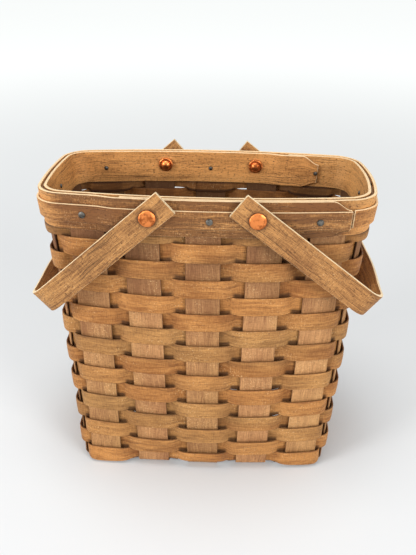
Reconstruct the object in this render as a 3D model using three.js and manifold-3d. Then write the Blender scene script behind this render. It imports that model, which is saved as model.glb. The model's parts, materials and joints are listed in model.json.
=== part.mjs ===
// Splint basket with two swing handles. Millimetres, +Z up, the long side along X, the front towards -Y.
// The origin is on the ground under the middle of the base.
import * as THREE from "three";
import { mergeVertices } from "three/addons/utils/BufferGeometryUtils.js";
import Module from "manifold-3d";

const wasm = await Module();
wasm.setup();

// Driving sizes of the splints
const STAKE_WIDTH = 22.2;
const STAKE_THICKNESS = 1.2;
const WEAVER_THICKNESS = 1.1;
const FIT_GAP = 0.3;

// Driving sizes of the body, all on the middle surface of the wall
const RIM_HEIGHT = 211.5;
const BASE_HALF_LENGTH = 86.8;
const RIM_HALF_LENGTH = 101.2;
const BASE_HALF_DEPTH = 41.6;
const RIM_HALF_DEPTH = 41.5;
const FLARE = 0.8;
const BASE_CORNER = 7;
const RIM_CORNER = 11.8;
const BASE_BULGE = 8.2;
const RIM_BULGE = 8.2;
const BELLY = 3.4;
const FOOT_TUCK = 6;
const FOOT_RISE = 12;
const RIM_END_BULGE = 6.3;
const FOLD_RADIUS = 3.5;

// Spacing of the stakes, from the room left between the outermost stake's edge and the end of its wall
const LONG_MARGIN_BASE = 4.3;
const LONG_MARGIN_RIM = 13.1;
const CROSS_MARGIN_BASE = 3.9;
const CROSS_MARGIN_RIM = 1.8;
const FIRST_STAKE_LEAN = 4.5;

// Spacing of the weaver rows
const ROWS = 16;
const FIRST_ROW_BOTTOM = 8;
const FIRST_ROW_DIP = 4.6;
const FIRST_ROW_TOP = 15;
const LAST_ROW_SHOWN = 5.9;
const ROW_PITCH_GROWTH = 0.024;
const WEAVE_SWING = 2.6;
const SCARF_RAMP = 2;

// Rim bands and trim
const BAND_HEIGHT = 22.9;
const BAND_THICKNESS = 2;
const TRIM_HEIGHT = 11.5;
const TRIM_THICKNESS = 1.6;
const TRIM_ABOVE_BAND_BOTTOM = 5.4;
const STAKE_BELOW_RIM = 1;
const OUTER_LAP_FROM = -50;
const OUTER_LAP_END = 95;
const INNER_LAP_FROM = 56;
const INNER_LAP_END = 82;
const LAP_RAMP = 14;
const LAP_CLEARANCE = 2;
const LAP_CORNER_CUT = 6;
const TRIM_BUTT_GAP = 1.5;

// Handles
const PIVOT_INSET = 5.6;
const PIVOT_BELOW_RIM = 9.6;
const HANDLE_WIDTH = 17;
const HANDLE_THICKNESS = 2.2;
const HANDLE_TAIL = 14.8;
const HANDLE_OVERHANG = 27.5;
const HANDLE_BEND = 12.7;
const HANDLE_BOW = 3;
const HANDLE_SIDE_GAP = 0.4;
const LEFT_DROP_DEG = 41.3;
const RIGHT_DROP_DEG = 37.8;

// Rivets, burrs and tacks
const RIVET_SHANK_R = 1.9;
const RIVET_HEAD_R = 5.2;
const RIVET_HEAD_RISE = 1.5;
const PEEN_R = 3.4;
const PEEN_RISE = 2.2;
const BURR_R = 5;
const BURR_THICKNESS = 1.2;
const BURR_SLANT_ROOM = 0.45;
const TACK_BELOW_RIM = 12.2;
const TACK_SHANK_R = 0.8;
const TACK_HEAD_R = 2.15;
const TACK_HEAD_RISE = 0.8;
const TACK_TIP = 0.7;
const CUTTER_LENGTH = 40;

// The lift puts the underside of the lowest splints on the ground: two splints cross in the base.
const BASE_SWING = (STAKE_THICKNESS + FIT_GAP) / 2;
const BASE_LIFT = BASE_SWING + STAKE_THICKNESS / 2;
const FOLD_ARC = (FOLD_RADIUS * Math.PI) / 2;
const HALF_STAKE = STAKE_WIDTH / 2;

const mix = (a, b, t) => a + (b - a) * t;

// Pitch of the stakes: two pitches on the long walls' halves, one on the end walls' halves.
const LONG_PITCH_BASE = (BASE_HALF_LENGTH - HALF_STAKE - LONG_MARGIN_BASE) / 2;
const LONG_PITCH_RIM = (RIM_HALF_LENGTH - HALF_STAKE - LONG_MARGIN_RIM) / 2;
const CROSS_PITCH_BASE = BASE_HALF_DEPTH - HALF_STAKE - CROSS_MARGIN_BASE;
const CROSS_PITCH_RIM = RIM_HALF_DEPTH - HALF_STAKE - CROSS_MARGIN_RIM;

// The rivets pass through the long stakes beside the middle one, a little inside their middles.
const PIVOT_HEIGHT = RIM_HEIGHT - PIVOT_BELOW_RIM;
const pivotStake = mix(LONG_PITCH_BASE, LONG_PITCH_RIM, PIVOT_HEIGHT / RIM_HEIGHT);
const PIVOT_HALF_SPAN = pivotStake - PIVOT_INSET;

// A handle is longer than the way from its rivets to the rim's end, so it swings over the rim.
const HANDLE_REACH = RIM_HALF_LENGTH - PIVOT_HALF_SPAN + HANDLE_OVERHANG;
const runFromHeight = (z) => z - BASE_LIFT - FOLD_RADIUS + FOLD_ARC;

// Plan of the wall at one height: half sizes, corner radius and the bulges of the long and end walls.
// Halfway up, the corners stand in by the flare and the long walls out by the belly. Near the
// ground the long walls are nearly straight: they are tucked in, by less and less over the foot's rise.
function plan(z) {
  const t = z / RIM_HEIGHT;
  const halfway = 4 * t * (1 - t);
  const a = mix(BASE_HALF_LENGTH, RIM_HALF_LENGTH, t) - FLARE * halfway;
  const b = mix(BASE_HALF_DEPTH, RIM_HALF_DEPTH, t) - FLARE * halfway;
  const r = mix(BASE_CORNER, RIM_CORNER, t);
  const tuck = FOOT_TUCK * Math.exp(-z / FOOT_RISE);
  const bulge = mix(BASE_BULGE, RIM_BULGE, t) + BELLY * halfway - tuck;
  const endBulge = RIM_END_BULGE * t ** 3;
  const quarter = a - r + (r * Math.PI) / 2 + b - r;
  return { a, b, r, bulge, endBulge, quarter };
}

// Point of the wall's plan at distance s round it, from the middle of the front towards +X.
function planPoint(s, z) {
  const { a, b, r, bulge, endBulge, quarter } = plan(z);
  const around = ((s % (4 * quarter)) + 4 * quarter) % (4 * quarter);
  const quadrant = Math.floor(around / quarter) % 4;
  const here = around - quadrant * quarter;
  const l = quadrant % 2 === 0 ? here : quarter - here;
  const arc = (r * Math.PI) / 2;
  let x = l;
  let y = b;
  if (l > a - r + arc) {
    x = a;
    y = b - r - (l - (a - r) - arc);
  } else if (l > a - r) {
    const turn = (l - (a - r)) / r;
    x = a - r + r * Math.sin(turn);
    y = b - r + r * Math.cos(turn);
  }
  const long = bulge * (1 - (x / a) ** 2) * (y / b);
  const end = endBulge * (1 - (y / b) ** 2) * (x / a);
  const sx = quadrant < 2 ? 1 : -1;
  const sy = quadrant === 0 || quadrant === 3 ? -1 : 1;
  return new THREE.Vector3(sx * (x + end), sy * (y + long), 0);
}

// Outward normal of the plan, level.
function planNormal(s, z) {
  const before = planPoint(s - 0.5, z);
  const after = planPoint(s + 0.5, z);
  const along = after.sub(before).normalize();
  return new THREE.Vector3(along.y, -along.x, 0);
}

// Point at distance s round the wall and v up it from the start of the fold, moved o outwards.
// A splint that folds under the base is drawn in along its own direction, given as pull.
function wallPoint(s, v, o, pull) {
  const turn = Math.min(v / FOLD_RADIUS, Math.PI / 2);
  const straight = Math.max(v - FOLD_ARC, 0);
  const z = BASE_LIFT + FOLD_RADIUS * (1 - Math.cos(turn)) + straight;
  const drawIn = FOLD_RADIUS * (1 - Math.sin(turn));
  const point = planPoint(s, z);
  const level = planNormal(s, z);
  const lean = planPoint(s, z + 1).sub(point).dot(level);
  const inward = pull ?? level;
  const normal = level.clone().multiplyScalar(Math.sin(turn));
  normal.z = -Math.cos(turn) - lean * Math.sin(turn);
  normal.normalize();
  point.z = z;
  point.addScaledVector(inward, -drawIn);
  return point.addScaledVector(normal, o);
}

// Middles of the sixteen stakes round the wall at height z, from the front middle towards +X.
function stakeMiddles(z) {
  const t = z / RIM_HEIGHT;
  const { quarter } = plan(z);
  const long = mix(LONG_PITCH_BASE, LONG_PITCH_RIM, t);
  const cross = mix(CROSS_PITCH_BASE, CROSS_PITCH_RIM, t);
  const lean = FIRST_STAKE_LEAN * t;
  const middles = [0, long, 2 * long];
  for (const k of [-1, 0, 1]) middles.push(quarter + k * cross);
  for (const k of [-2, -1, 0, 1, 2]) middles.push(2 * quarter + k * long);
  for (const k of [-1, 0, 1]) middles.push(3 * quarter + k * cross);
  middles.push(4 * quarter - 2 * long + lean);
  middles.push(4 * quarter - long);
  return middles;
}

const STAKES_ROUND = stakeMiddles(0).length;

// Middle of stake number m, where m may run past one turn.
function stakeMiddle(m, z) {
  const turns = Math.floor(m / STAKES_ROUND);
  return stakeMiddles(z)[m - turns * STAKES_ROUND] + turns * 4 * plan(z).quarter;
}

// A weaver must clear the edges of the stakes where they stand closest, at the first row:
// there its wave has to be flat enough over a stake to still be outside it at the stake's edge.
const lowMiddles = stakeMiddles(FIRST_ROW_BOTTOM);
const tightest = Math.min(lowMiddles[3] - lowMiddles[2], lowMiddles[4] - lowMiddles[3]);
const edgeOffset = (STAKE_THICKNESS + WEAVER_THICKNESS) / 2 + FIT_GAP;
const edgeShare = (edgeOffset / WEAVE_SWING) ** 2;
const edgeCosine = Math.cos((Math.PI * HALF_STAKE) / tightest) ** 2;
const waveFlatness = (edgeShare - edgeCosine) / (edgeCosine * (1 - edgeShare));

// Share of the full swing that a weaver has at t of the way from one stake to the next.
function waveShare(t) {
  const c = Math.cos(Math.PI * t);
  return c * Math.sqrt((1 + waveFlatness) / (1 + waveFlatness * c * c));
}

// Closed skin over a grid: rows along the strip, columns across it, an outer and an inner face.
function stripGeometry(outer, inner) {
  const rows = outer.length;
  const columns = outer[0].length;
  const points = [...outer.flat(), ...inner.flat()];
  const out = (i, j) => i * columns + j;
  const into = (i, j) => rows * columns + i * columns + j;
  const index = [];
  const quad = (a, b, c, d) => index.push(a, b, c, a, c, d);
  for (let i = 0; i < rows - 1; i++) {
    for (let j = 0; j < columns - 1; j++) {
      quad(out(i, j), out(i + 1, j), out(i + 1, j + 1), out(i, j + 1));
      quad(into(i, j), into(i, j + 1), into(i + 1, j + 1), into(i + 1, j));
    }
    quad(out(i, 0), into(i, 0), into(i + 1, 0), out(i + 1, 0));
    const last = columns - 1;
    quad(out(i, last), out(i + 1, last), into(i + 1, last), into(i, last));
  }
  for (let j = 0; j < columns - 1; j++) {
    quad(out(0, j), out(0, j + 1), into(0, j + 1), into(0, j));
    const end = rows - 1;
    quad(out(end, j), into(end, j), into(end, j + 1), out(end, j + 1));
  }
  if (signedVolume(points, index) < 0) {
    for (let i = 0; i < index.length; i += 3) {
      [index[i + 1], index[i + 2]] = [index[i + 2], index[i + 1]];
    }
  }
  const geometry = new THREE.BufferGeometry().setFromPoints(points);
  geometry.setIndex(index);
  return geometry;
}

function signedVolume(points, index) {
  let volume = 0;
  for (let i = 0; i < index.length; i += 3) {
    const [a, b, c] = [points[index[i]], points[index[i + 1]], points[index[i + 2]]];
    volume += a.dot(b.clone().cross(c)) / 6;
  }
  return volume;
}

function solidFrom(geometry) {
  const bare = geometry.clone();
  bare.deleteAttribute("normal");
  bare.deleteAttribute("uv");
  const merged = mergeVertices(bare, 1e-4);
  const vertProperties = new Float32Array(merged.attributes.position.array);
  const triVerts = new Uint32Array(merged.index.array);
  return new wasm.Manifold(new wasm.Mesh({ numProp: 3, vertProperties, triVerts }));
}

function geometryFrom(solid) {
  const mesh = solid.getMesh();
  const geometry = new THREE.BufferGeometry();
  const position = new THREE.BufferAttribute(new Float32Array(mesh.vertProperties), 3);
  geometry.setAttribute("position", position);
  geometry.setIndex(new THREE.BufferAttribute(new Uint32Array(mesh.triVerts), 1));
  return geometry;
}

// Round cutter along direction through point.
function drill(point, direction, radius, length, sides) {
  const tool = new THREE.CylinderGeometry(radius, radius, length, sides);
  const turn = new THREE.Quaternion().setFromUnitVectors(new THREE.Vector3(0, 1, 0), direction);
  tool.applyQuaternion(turn);
  tool.translate(point.x, point.y, point.z);
  return solidFrom(tool);
}

function cut(geometry, cutters) {
  let solid = solidFrom(geometry);
  for (const cutter of cutters) solid = solid.subtract(cutter);
  return geometryFrom(solid);
}

// Finishes of the parts
const finish = (color, roughness, metalness) =>
  new THREE.MeshStandardMaterial({ color, roughness, metalness });
const finishes = {
  splint: () => finish(0xa9713f, 0.62, 0),
  band: () => finish(0xb17a45, 0.6, 0),
  bentwood: () => finish(0xb0773f, 0.6, 0),
  copper: () => finish(0xc06a3a, 0.35, 1),
  steel: () => finish(0x77797c, 0.4, 1),
};

const group = new THREE.Group();
group.name = "splint_basket";

function add(name, geometry, slot) {
  const mesh = new THREE.Mesh(geometry, finishes[slot]());
  mesh.name = name;
  group.add(mesh);
}

// Places of the rivets and tacks, with the direction that each points outwards.
const rivets = [];
for (const [side, sx] of [["left", -1], ["right", 1]]) {
  for (const [face, sy] of [["front", -1], ["back", 1]]) {
    const outward = new THREE.Vector3(0, sy, 0);
    const wall = wallPoint(
      sy < 0 ? sx * PIVOT_HALF_SPAN : 2 * plan(PIVOT_HEIGHT).quarter - sx * PIVOT_HALF_SPAN,
      runFromHeight(PIVOT_HEIGHT), 0);
    const point = new THREE.Vector3(sx * PIVOT_HALF_SPAN, wall.y, PIVOT_HEIGHT);
    rivets.push({ name: `${face}_${side}`, face, side, point, outward });
  }
}

// Each tack goes through a stake, some way along the rim from its middle.
const tackPlaces = [
  [0, 4, "front_middle"], [2, -7.5, "front_right"], [4, 0, "side_right"], [6, 0, "back_right"],
  [8, 0, "back_middle"], [10, 0, "back_left"], [12, 0, "side_left"], [14, -0.8, "front_left"],
];
const TACK_HEIGHT = RIM_HEIGHT - TACK_BELOW_RIM;
const tacks = tackPlaces.map(([m, shift, name]) => {
  const s = stakeMiddle(m, TACK_HEIGHT) + shift;
  const v = runFromHeight(TACK_HEIGHT);
  const point = wallPoint(s, v, 0);
  const outward = wallPoint(s, v, 1).sub(point).normalize();
  return { name, s, point, outward };
});

const rivetCutters = (list = rivets) =>
  list.map((r) => drill(r.point, r.outward, RIVET_SHANK_R + FIT_GAP, CUTTER_LENGTH, 16));
const tackCutters = () =>
  tacks.map((t) => drill(t.point, t.outward, TACK_SHANK_R + FIT_GAP, CUTTER_LENGTH, 10));

// Heights of the weaver rows, which grow a little towards the rim; the last shows only a strip.
const bandBottom = RIM_HEIGHT - BAND_HEIGHT;
const steps = ROWS - 2;
const rowsRise = bandBottom - LAST_ROW_SHOWN - FIRST_ROW_TOP;
const rowPitch = rowsRise / steps - ROW_PITCH_GROWTH * steps;
function rowTop(row) {
  if (row === 0) return FIRST_ROW_BOTTOM;
  if (row === ROWS) return bandBottom;
  return FIRST_ROW_TOP + rowPitch * (row - 1) + ROW_PITCH_GROWTH * (row - 1) ** 2;
}

// Stakes: one splint down a wall, under the base and up the other wall
const stakeTop = runFromHeight(RIM_HEIGHT - STAKE_BELOW_RIM);
const FOLD_STEPS = 4;
const WALL_STEPS = 4;
const FOOT_ROWS = [5, 3, 2, 1];
const BENT_COLUMNS = 6;

// Which splint lies outside where long stake k (-2..2) crosses cross stake j (-1..1): 1 is the long one.
const longOutside = (k, j) => ((k + j) % 2 === 0 ? -1 : 1);

// Heights up the wall of one end of a stake, from the top down to the start of the fold.
function endRuns() {
  const runs = [];
  const foot = FOOT_ROWS.map((row) => runFromHeight(rowTop(row)));
  for (let i = 0; i < WALL_STEPS; i++) runs.push(mix(stakeTop, foot[0], i / WALL_STEPS));
  runs.push(...foot, FOLD_ARC);
  for (let i = 1; i <= FOLD_STEPS; i++) runs.push(FOLD_ARC * (1 - i / FOLD_STEPS));
  return runs;
}

// middleOf gives the stake's middle on end 0 or 1 at height z; crossings are [low, high, offset] along the base.
function stakeGeometry(columns, sideOf, middleOf, pull, crossings, axis) {
  const lateral = [];
  for (let j = 0; j <= columns; j++) lateral.push(mix(-HALF_STAKE, HALF_STAKE, j / columns));
  const faces = [1, -1].map((face) => {
    const o = (face * STAKE_THICKNESS) / 2;
    const wallEnd = (end) => endRuns().map((v) => lateral.map((u) => {
      const z = v > FOLD_ARC ? v - FOLD_ARC + FOLD_RADIUS + BASE_LIFT : 0;
      const share = Math.min(v / FOLD_ARC, 1);
      const seat = end === 0 ? crossings[0][2] : crossings[crossings.length - 1][2];
      const base = seat * (1 + Math.cos(Math.PI * share)) / 2;
      return wallPoint(middleOf(end, z) + sideOf(end) * u, v, o + base, pull(end));
    }));
    const first = wallEnd(0);
    const last = wallEnd(1).reverse();
    const from = first[first.length - 1];
    const to = last[0];
    const base = crossings.flatMap(([low, high, offset]) => [low, high].map((place) =>
      lateral.map((u, j) => {
        const p = from[j].clone().lerp(to[j], 0.5);
        p[axis] = place;
        p.z = BASE_LIFT - o - offset;
        return p;
      })));
    return [...first, ...base, ...last];
  });
  return stripGeometry(faces[0], faces[1]);
}

for (const k of [-2, -1, 0, 1, 2]) {
  const crossings = [-1, 0, 1].map((j) => [
    j * CROSS_PITCH_BASE - HALF_STAKE, j * CROSS_PITCH_BASE + HALF_STAKE,
    longOutside(k, j) * BASE_SWING]);
  const middleOf = (end, z) => {
    const number = end === 0 ? (k + STAKES_ROUND) % STAKES_ROUND : STAKES_ROUND / 2 - k;
    return stakeMiddle(number, z);
  };
  const geometry = stakeGeometry(
    Math.abs(k) === 2 ? BENT_COLUMNS / 2 : 1,
    (end) => (end === 0 ? 1 : -1),
    middleOf,
    (end) => new THREE.Vector3(0, end === 0 ? -1 : 1, 0),
    crossings, "y");
  const cutters = Math.abs(k) === 1
    ? rivetCutters(rivets.filter((r) => r.side === (k < 0 ? "left" : "right")))
    : tackCutters();
  add(`stake_long_${k + 3}`, cut(geometry, cutters), "splint");
}

for (const j of [-1, 0, 1]) {
  const crossings = [-2, -1, 0, 1, 2].map((k) => [
    k * LONG_PITCH_BASE - HALF_STAKE, k * LONG_PITCH_BASE + HALF_STAKE,
    -longOutside(k, j) * BASE_SWING]);
  const middleOf = (end, z) => stakeMiddle(end === 0 ? 12 - j : 4 + j, z);
  const geometry = stakeGeometry(
    j === 0 ? BENT_COLUMNS / 2 : BENT_COLUMNS,
    (end) => (end === 0 ? -1 : 1),
    middleOf,
    (end) => new THREE.Vector3(end === 0 ? -1 : 1, 0, 0),
    crossings, "x");
  add(`stake_cross_${j + 2}`, j === 0 ? cut(geometry, tackCutters()) : geometry, "splint");
}

// Weavers: sixteen separate rows, each a splint once round whose thinned ends lap behind a stake
// The first row's lower edge dips from the middle of the long walls towards the corners, into the fold.
function dippedPoint(q, z, row, offset) {
  const at = (height) => mix(stakeMiddle(q.m, height), stakeMiddle(q.m + 1, height), q.t);
  const inShare = 1 - Math.abs(planPoint(at(z), z).x) / (plan(z).a + plan(z).endBulge);
  const height = row === 1 && z < FIRST_ROW_TOP / 2 + FIRST_ROW_BOTTOM / 2
    ? z - FIRST_ROW_DIP * (1 - inShare ** 2) : z;
  return wallPoint(at(height), runFromHeight(height), offset);
}

function weaverGeometry(row) {
  const low = rowTop(row - 1) + FIT_GAP / 2;
  const high = rowTop(row) - FIT_GAP / 2;
  const middle = (low + high) / 2;
  const sign = (m) => ((m + row) % 2 === 0 ? -1 : 1);
  const lapAt = row % 2 === 0 ? (row % 4 === 0 ? 8 : 10) : (row % 4 === 1 ? 7 : 9);
  const half = WEAVER_THICKNESS / 2;
  const split = FIT_GAP / 2;
  const reach = HALF_STAKE - 1;
  const stations = [];
  const put = (m, t, lowFace, highFace) => {
    const o = sign(m) * WEAVE_SWING * waveShare(t);
    stations.push({ m, t, lowFace: o + lowFace, highFace: o + highFace });
  };
  const gap = (m) => stakeMiddle(m + 1, middle) - stakeMiddle(m, middle);
  put(lapAt - 1, 1 - reach / gap(lapAt - 1), split, half);
  put(lapAt, 0, split, half);
  put(lapAt, reach / gap(lapAt), split, half);
  put(lapAt, (reach + SCARF_RAMP) / gap(lapAt), -half, half);
  for (let m = lapAt; m < lapAt + STAKES_ROUND; m++) {
    const edge = HALF_STAKE / gap(m);
    const here = m % STAKES_ROUND;
    if (m > lapAt) {
      put(m, 0, -half, half);
      if ([5, 13].includes(here)) for (const share of [1 / 3, 2 / 3]) put(m, edge * share, -half, half);
      put(m, edge, -half, half);
    }
    if ([2, 5, 10, 13].includes(here)) put(m, 0.5, -half, half);
    if (m < lapAt + STAKES_ROUND - 1) {
      put(m, 1 - edge, -half, half);
      if ([2, 10].includes(here)) for (const share of [2 / 3, 1 / 3]) put(m, 1 - edge * share, -half, half);
    }
  }
  const end = lapAt + STAKES_ROUND;
  put(end - 1, 1 - (reach + SCARF_RAMP) / gap(end - 1), -half, half);
  put(end - 1, 1 - reach / gap(end - 1), -half, -split);
  put(end, 0, -half, -split);
  put(end, reach / gap(end), -half, -split);
  const lines = row === 1 ? [low, mix(low, high, 0.25), high] : [low, high];
  const grid = (face) => stations.map((q) => lines.map((z) => dippedPoint(q, z, row, q[face])));
  return stripGeometry(grid("highFace"), grid("lowFace"));
}

for (let row = 1; row <= ROWS; row++) {
  add(`weaver_${String(row).padStart(2, "0")}`, weaverGeometry(row), "splint");
}

// Rim: two bands sandwich the stakes, each lapped over its own start, with a narrow trim outside
const rimPlan = plan(RIM_HEIGHT - BAND_HEIGHT / 2);
const quarterRim = rimPlan.quarter;
const bandFace = STAKE_THICKNESS / 2 + FIT_GAP;
const lapStep = BAND_THICKNESS + FIT_GAP;
const smooth = (t) => {
  const c = Math.min(Math.max(t, 0), 1);
  return c * c * (3 - 2 * c);
};

// Distances round one turn where a band needs a station: few on the walls, many round the corners.
function rimStations(from, to, extra) {
  const { a, b, r } = rimPlan;
  const flatLong = a - r;
  const flatEnd = b - r;
  const arc = (r * Math.PI) / 2;
  const quarterSet = [];
  for (let i = 0; i < 4; i++) quarterSet.push((flatLong * i) / 4);
  for (let i = 0; i <= 6; i++) quarterSet.push(flatLong + (arc * i) / 6);
  for (let i = 1; i <= 3; i++) quarterSet.push(flatLong + arc + (flatEnd * i) / 3);
  const all = new Set(extra);
  for (let turn = -2; turn <= 2; turn++) {
    for (let q = 0; q < 4; q++) {
      for (const l of quarterSet) {
        all.add((turn * 4 + q) * quarterRim + (q % 2 === 0 ? l : quarterRim - l));
      }
    }
  }
  for (const s of [...all]) if (s < from || s > to) all.delete(s);
  all.add(from).add(to);
  const sorted = [...all].sort((p, q) => p - q);
  return sorted.filter((s, i) => i === 0 || s - sorted[i - 1] > 0.2);
}

// Strip round the rim. rise(s) is the inner face's offset; topCut and bottomCut clip its end corners.
function rimStrip(from, to, extra, low, high, thickness, offset, clip) {
  const stations = rimStations(from, to, extra);
  const scale = (s, z) => (s * plan(z).quarter) / quarterRim;
  const face = (extraOffset) => stations.map((s) => {
    const [down, up] = clip(s);
    return [low + down, high - up].map((z) =>
      wallPoint(scale(s, z), runFromHeight(z), offset(s) + extraOffset));
  });
  return stripGeometry(face(thickness), face(0));
}

const clipEnd = (s, end, length) => {
  const t = smooth((length - Math.abs(end - s)) / length);
  return [t * LAP_CORNER_CUT * 0.6, t * LAP_CORNER_CUT];
};

// Outer band: starts under its own lap at the front right and ends on top of it.
const outerFrom = OUTER_LAP_FROM;
const outerTo = 4 * quarterRim + OUTER_LAP_END;
const outerLapStart = 4 * quarterRim + OUTER_LAP_FROM - LAP_CLEARANCE;
const outerOffset = (s) =>
  bandFace + lapStep * smooth((s - outerLapStart + LAP_RAMP) / LAP_RAMP);
const outerExtra = [
  outerLapStart - LAP_RAMP, outerLapStart - LAP_RAMP * 0.7, outerLapStart - LAP_RAMP / 2,
  outerLapStart - LAP_RAMP * 0.3, outerLapStart, outerTo - LAP_CORNER_CUT * 2, outerTo - LAP_CORNER_CUT];
const outerBand = rimStrip(outerFrom, outerTo, outerExtra, bandBottom, RIM_HEIGHT, BAND_THICKNESS,
  outerOffset, (s) => clipEnd(s, outerTo, LAP_CORNER_CUT * 2));
add("rim_band_outer", cut(outerBand, [...rivetCutters(), ...tackCutters()]), "band");

// Inner band: the same inside the stakes, wound the other way, its lap end at the back right.
const innerStart = 2 * quarterRim - INNER_LAP_FROM;
const innerEnd = -2 * quarterRim - INNER_LAP_END;
const innerLapStart = -2 * quarterRim - INNER_LAP_FROM + LAP_CLEARANCE;
const innerOffset = (s) =>
  -bandFace - BAND_THICKNESS - lapStep * smooth((innerLapStart + LAP_RAMP - s) / LAP_RAMP);
const innerExtra = [
  innerLapStart + LAP_RAMP, innerLapStart + LAP_RAMP * 0.7, innerLapStart + LAP_RAMP / 2,
  innerLapStart + LAP_RAMP * 0.3, innerLapStart, innerEnd + LAP_CORNER_CUT * 2, innerEnd + LAP_CORNER_CUT];
const innerBand = rimStrip(innerEnd, innerStart, innerExtra, bandBottom, RIM_HEIGHT, BAND_THICKNESS,
  innerOffset, (s) => clipEnd(s, innerEnd, LAP_CORNER_CUT * 2));
add("rim_band_inner", cut(innerBand, [...rivetCutters(), ...tackCutters()]), "band");

// Trim: one narrow strip on the outer band, its ends meeting where the outer band's lap ends.
const trimLow = bandBottom + TRIM_ABOVE_BAND_BOTTOM;
const trimFrom = OUTER_LAP_END + TRIM_BUTT_GAP;
const trimOffset = (s) => outerOffset(s) + BAND_THICKNESS + FIT_GAP;
const trim = rimStrip(trimFrom, outerTo, outerExtra, trimLow, trimLow + TRIM_HEIGHT, TRIM_THICKNESS,
  trimOffset, () => [0, 0]);
add("rim_trim", cut(trim, [...rivetCutters(), ...tackCutters()]), "band");

// Handles: one flat bent strip each, square cut past the rivets, resting against the ends
const trimFace = bandFace + BAND_THICKNESS + FIT_GAP + TRIM_THICKNESS;
const trimHeight = trimLow + TRIM_HEIGHT;
const trimDepth = -wallPoint(0, runFromHeight(trimHeight), trimFace).y + HANDLE_SIDE_GAP;
const armInner = { front: trimDepth + lapStep, back: trimDepth };
const HALF_SPREAD = (armInner.front + armInner.back + HANDLE_THICKNESS) / 2;
const SPREAD_MIDDLE = (armInner.back - armInner.front) / 2;
const BEND_STEPS = 6;

// Middle line of the strip in the handle's own plane: x runs away from the rivets, y across the basket.
function handlePath() {
  const path = [];
  const bendStart = HANDLE_REACH - HANDLE_BEND;
  const across = HALF_SPREAD - HANDLE_BEND;
  path.push([-HANDLE_TAIL, -HALF_SPREAD, 0]);
  path.push([bendStart * 0.5, -HALF_SPREAD, 0]);
  for (let i = 0; i <= BEND_STEPS; i++) {
    const turn = (Math.PI / 2) * (i / BEND_STEPS);
    path.push([
      bendStart + HANDLE_BEND * Math.sin(turn), -across - HANDLE_BEND * Math.cos(turn), turn]);
  }
  for (const share of [-0.5, 0]) {
    path.push([HANDLE_REACH + HANDLE_BOW * (1 - share * share * 2), share * across, Math.PI / 2]);
  }
  const back = path.slice(0, -1).reverse();
  return [...path, ...back.map(([x, y, turn]) => [x, -y, Math.PI - turn])];
}

function handleGeometry(side, drop) {
  const sx = side === "left" ? -1 : 1;
  const angle = THREE.MathUtils.degToRad(drop);
  const along = new THREE.Vector3(sx * Math.cos(angle), 0, -Math.sin(angle));
  const wide = new THREE.Vector3(sx * Math.sin(angle), 0, Math.cos(angle));
  const pivot = new THREE.Vector3(sx * PIVOT_HALF_SPAN, 0, PIVOT_HEIGHT);
  const place = (x, y, w) =>
    pivot.clone().addScaledVector(along, x).addScaledVector(wide, w).setY(y);
  const face = (d) => handlePath().map(([x, y, turn]) =>
    [-HANDLE_WIDTH / 2, HANDLE_WIDTH / 2].map((w) =>
      place(x + d * Math.sin(turn), SPREAD_MIDDLE + y - d * Math.cos(turn), w)));
  const strip = stripGeometry(face(HANDLE_THICKNESS / 2), face(-HANDLE_THICKNESS / 2));
  return cut(strip, rivetCutters(rivets.filter((r) => r.side === side)));
}

add("handle_left", handleGeometry("left", LEFT_DROP_DEG), "bentwood");
add("handle_right", handleGeometry("right", RIGHT_DROP_DEG), "bentwood");

// Turned pieces: profile as [radius, distance outwards], placed along their own direction
function turned(profile, point, outward, sides) {
  const geometry = new THREE.LatheGeometry(profile.map(([r, h]) => new THREE.Vector2(r, h)), sides);
  const turn = new THREE.Quaternion().setFromUnitVectors(new THREE.Vector3(0, 1, 0), outward);
  geometry.applyQuaternion(turn);
  geometry.translate(point.x, point.y, point.z);
  const bare = geometry.clone();
  bare.deleteAttribute("normal");
  bare.deleteAttribute("uv");
  return mergeVertices(bare, 1e-4);
}

// Rivets: a low head outside the handle, a shank through the rim, a peened end inside over a burr.
// The rivets keep to the hinge line while the bulged wall slants a little, so the burrs stand off it.
for (const r of rivets) {
  const outside = armInner[r.face] + HANDLE_THICKNESS + FIT_GAP - Math.abs(r.point.y);
  const inside = bandFace + BAND_THICKNESS + FIT_GAP + BURR_SLANT_ROOM;
  const burrInside = inside + BURR_THICKNESS;
  const peen = burrInside + FIT_GAP;
  const head = [
    [0, -peen - PEEN_RISE], [PEEN_R * 0.6, -peen - PEEN_RISE * 0.8], [PEEN_R, -peen - PEEN_RISE * 0.3],
    [PEEN_R, -peen], [RIVET_SHANK_R, -peen], [RIVET_SHANK_R, outside],
    [RIVET_HEAD_R, outside], [RIVET_HEAD_R, outside + RIVET_HEAD_RISE * 0.35],
    [RIVET_HEAD_R * 0.7, outside + RIVET_HEAD_RISE * 0.85], [0, outside + RIVET_HEAD_RISE]];
  add(`rivet_${r.name}`, turned(head, r.point, r.outward, 16), "copper");
  const burr = [
    [RIVET_SHANK_R + FIT_GAP, -burrInside], [BURR_R - 0.4, -burrInside], [BURR_R, -inside - 0.4],
    [BURR_R, -inside], [RIVET_SHANK_R + FIT_GAP, -inside], [RIVET_SHANK_R + FIT_GAP, -burrInside]];
  add(`burr_${r.name}`, turned(burr, r.point, r.outward, 16), "copper");
}

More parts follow.
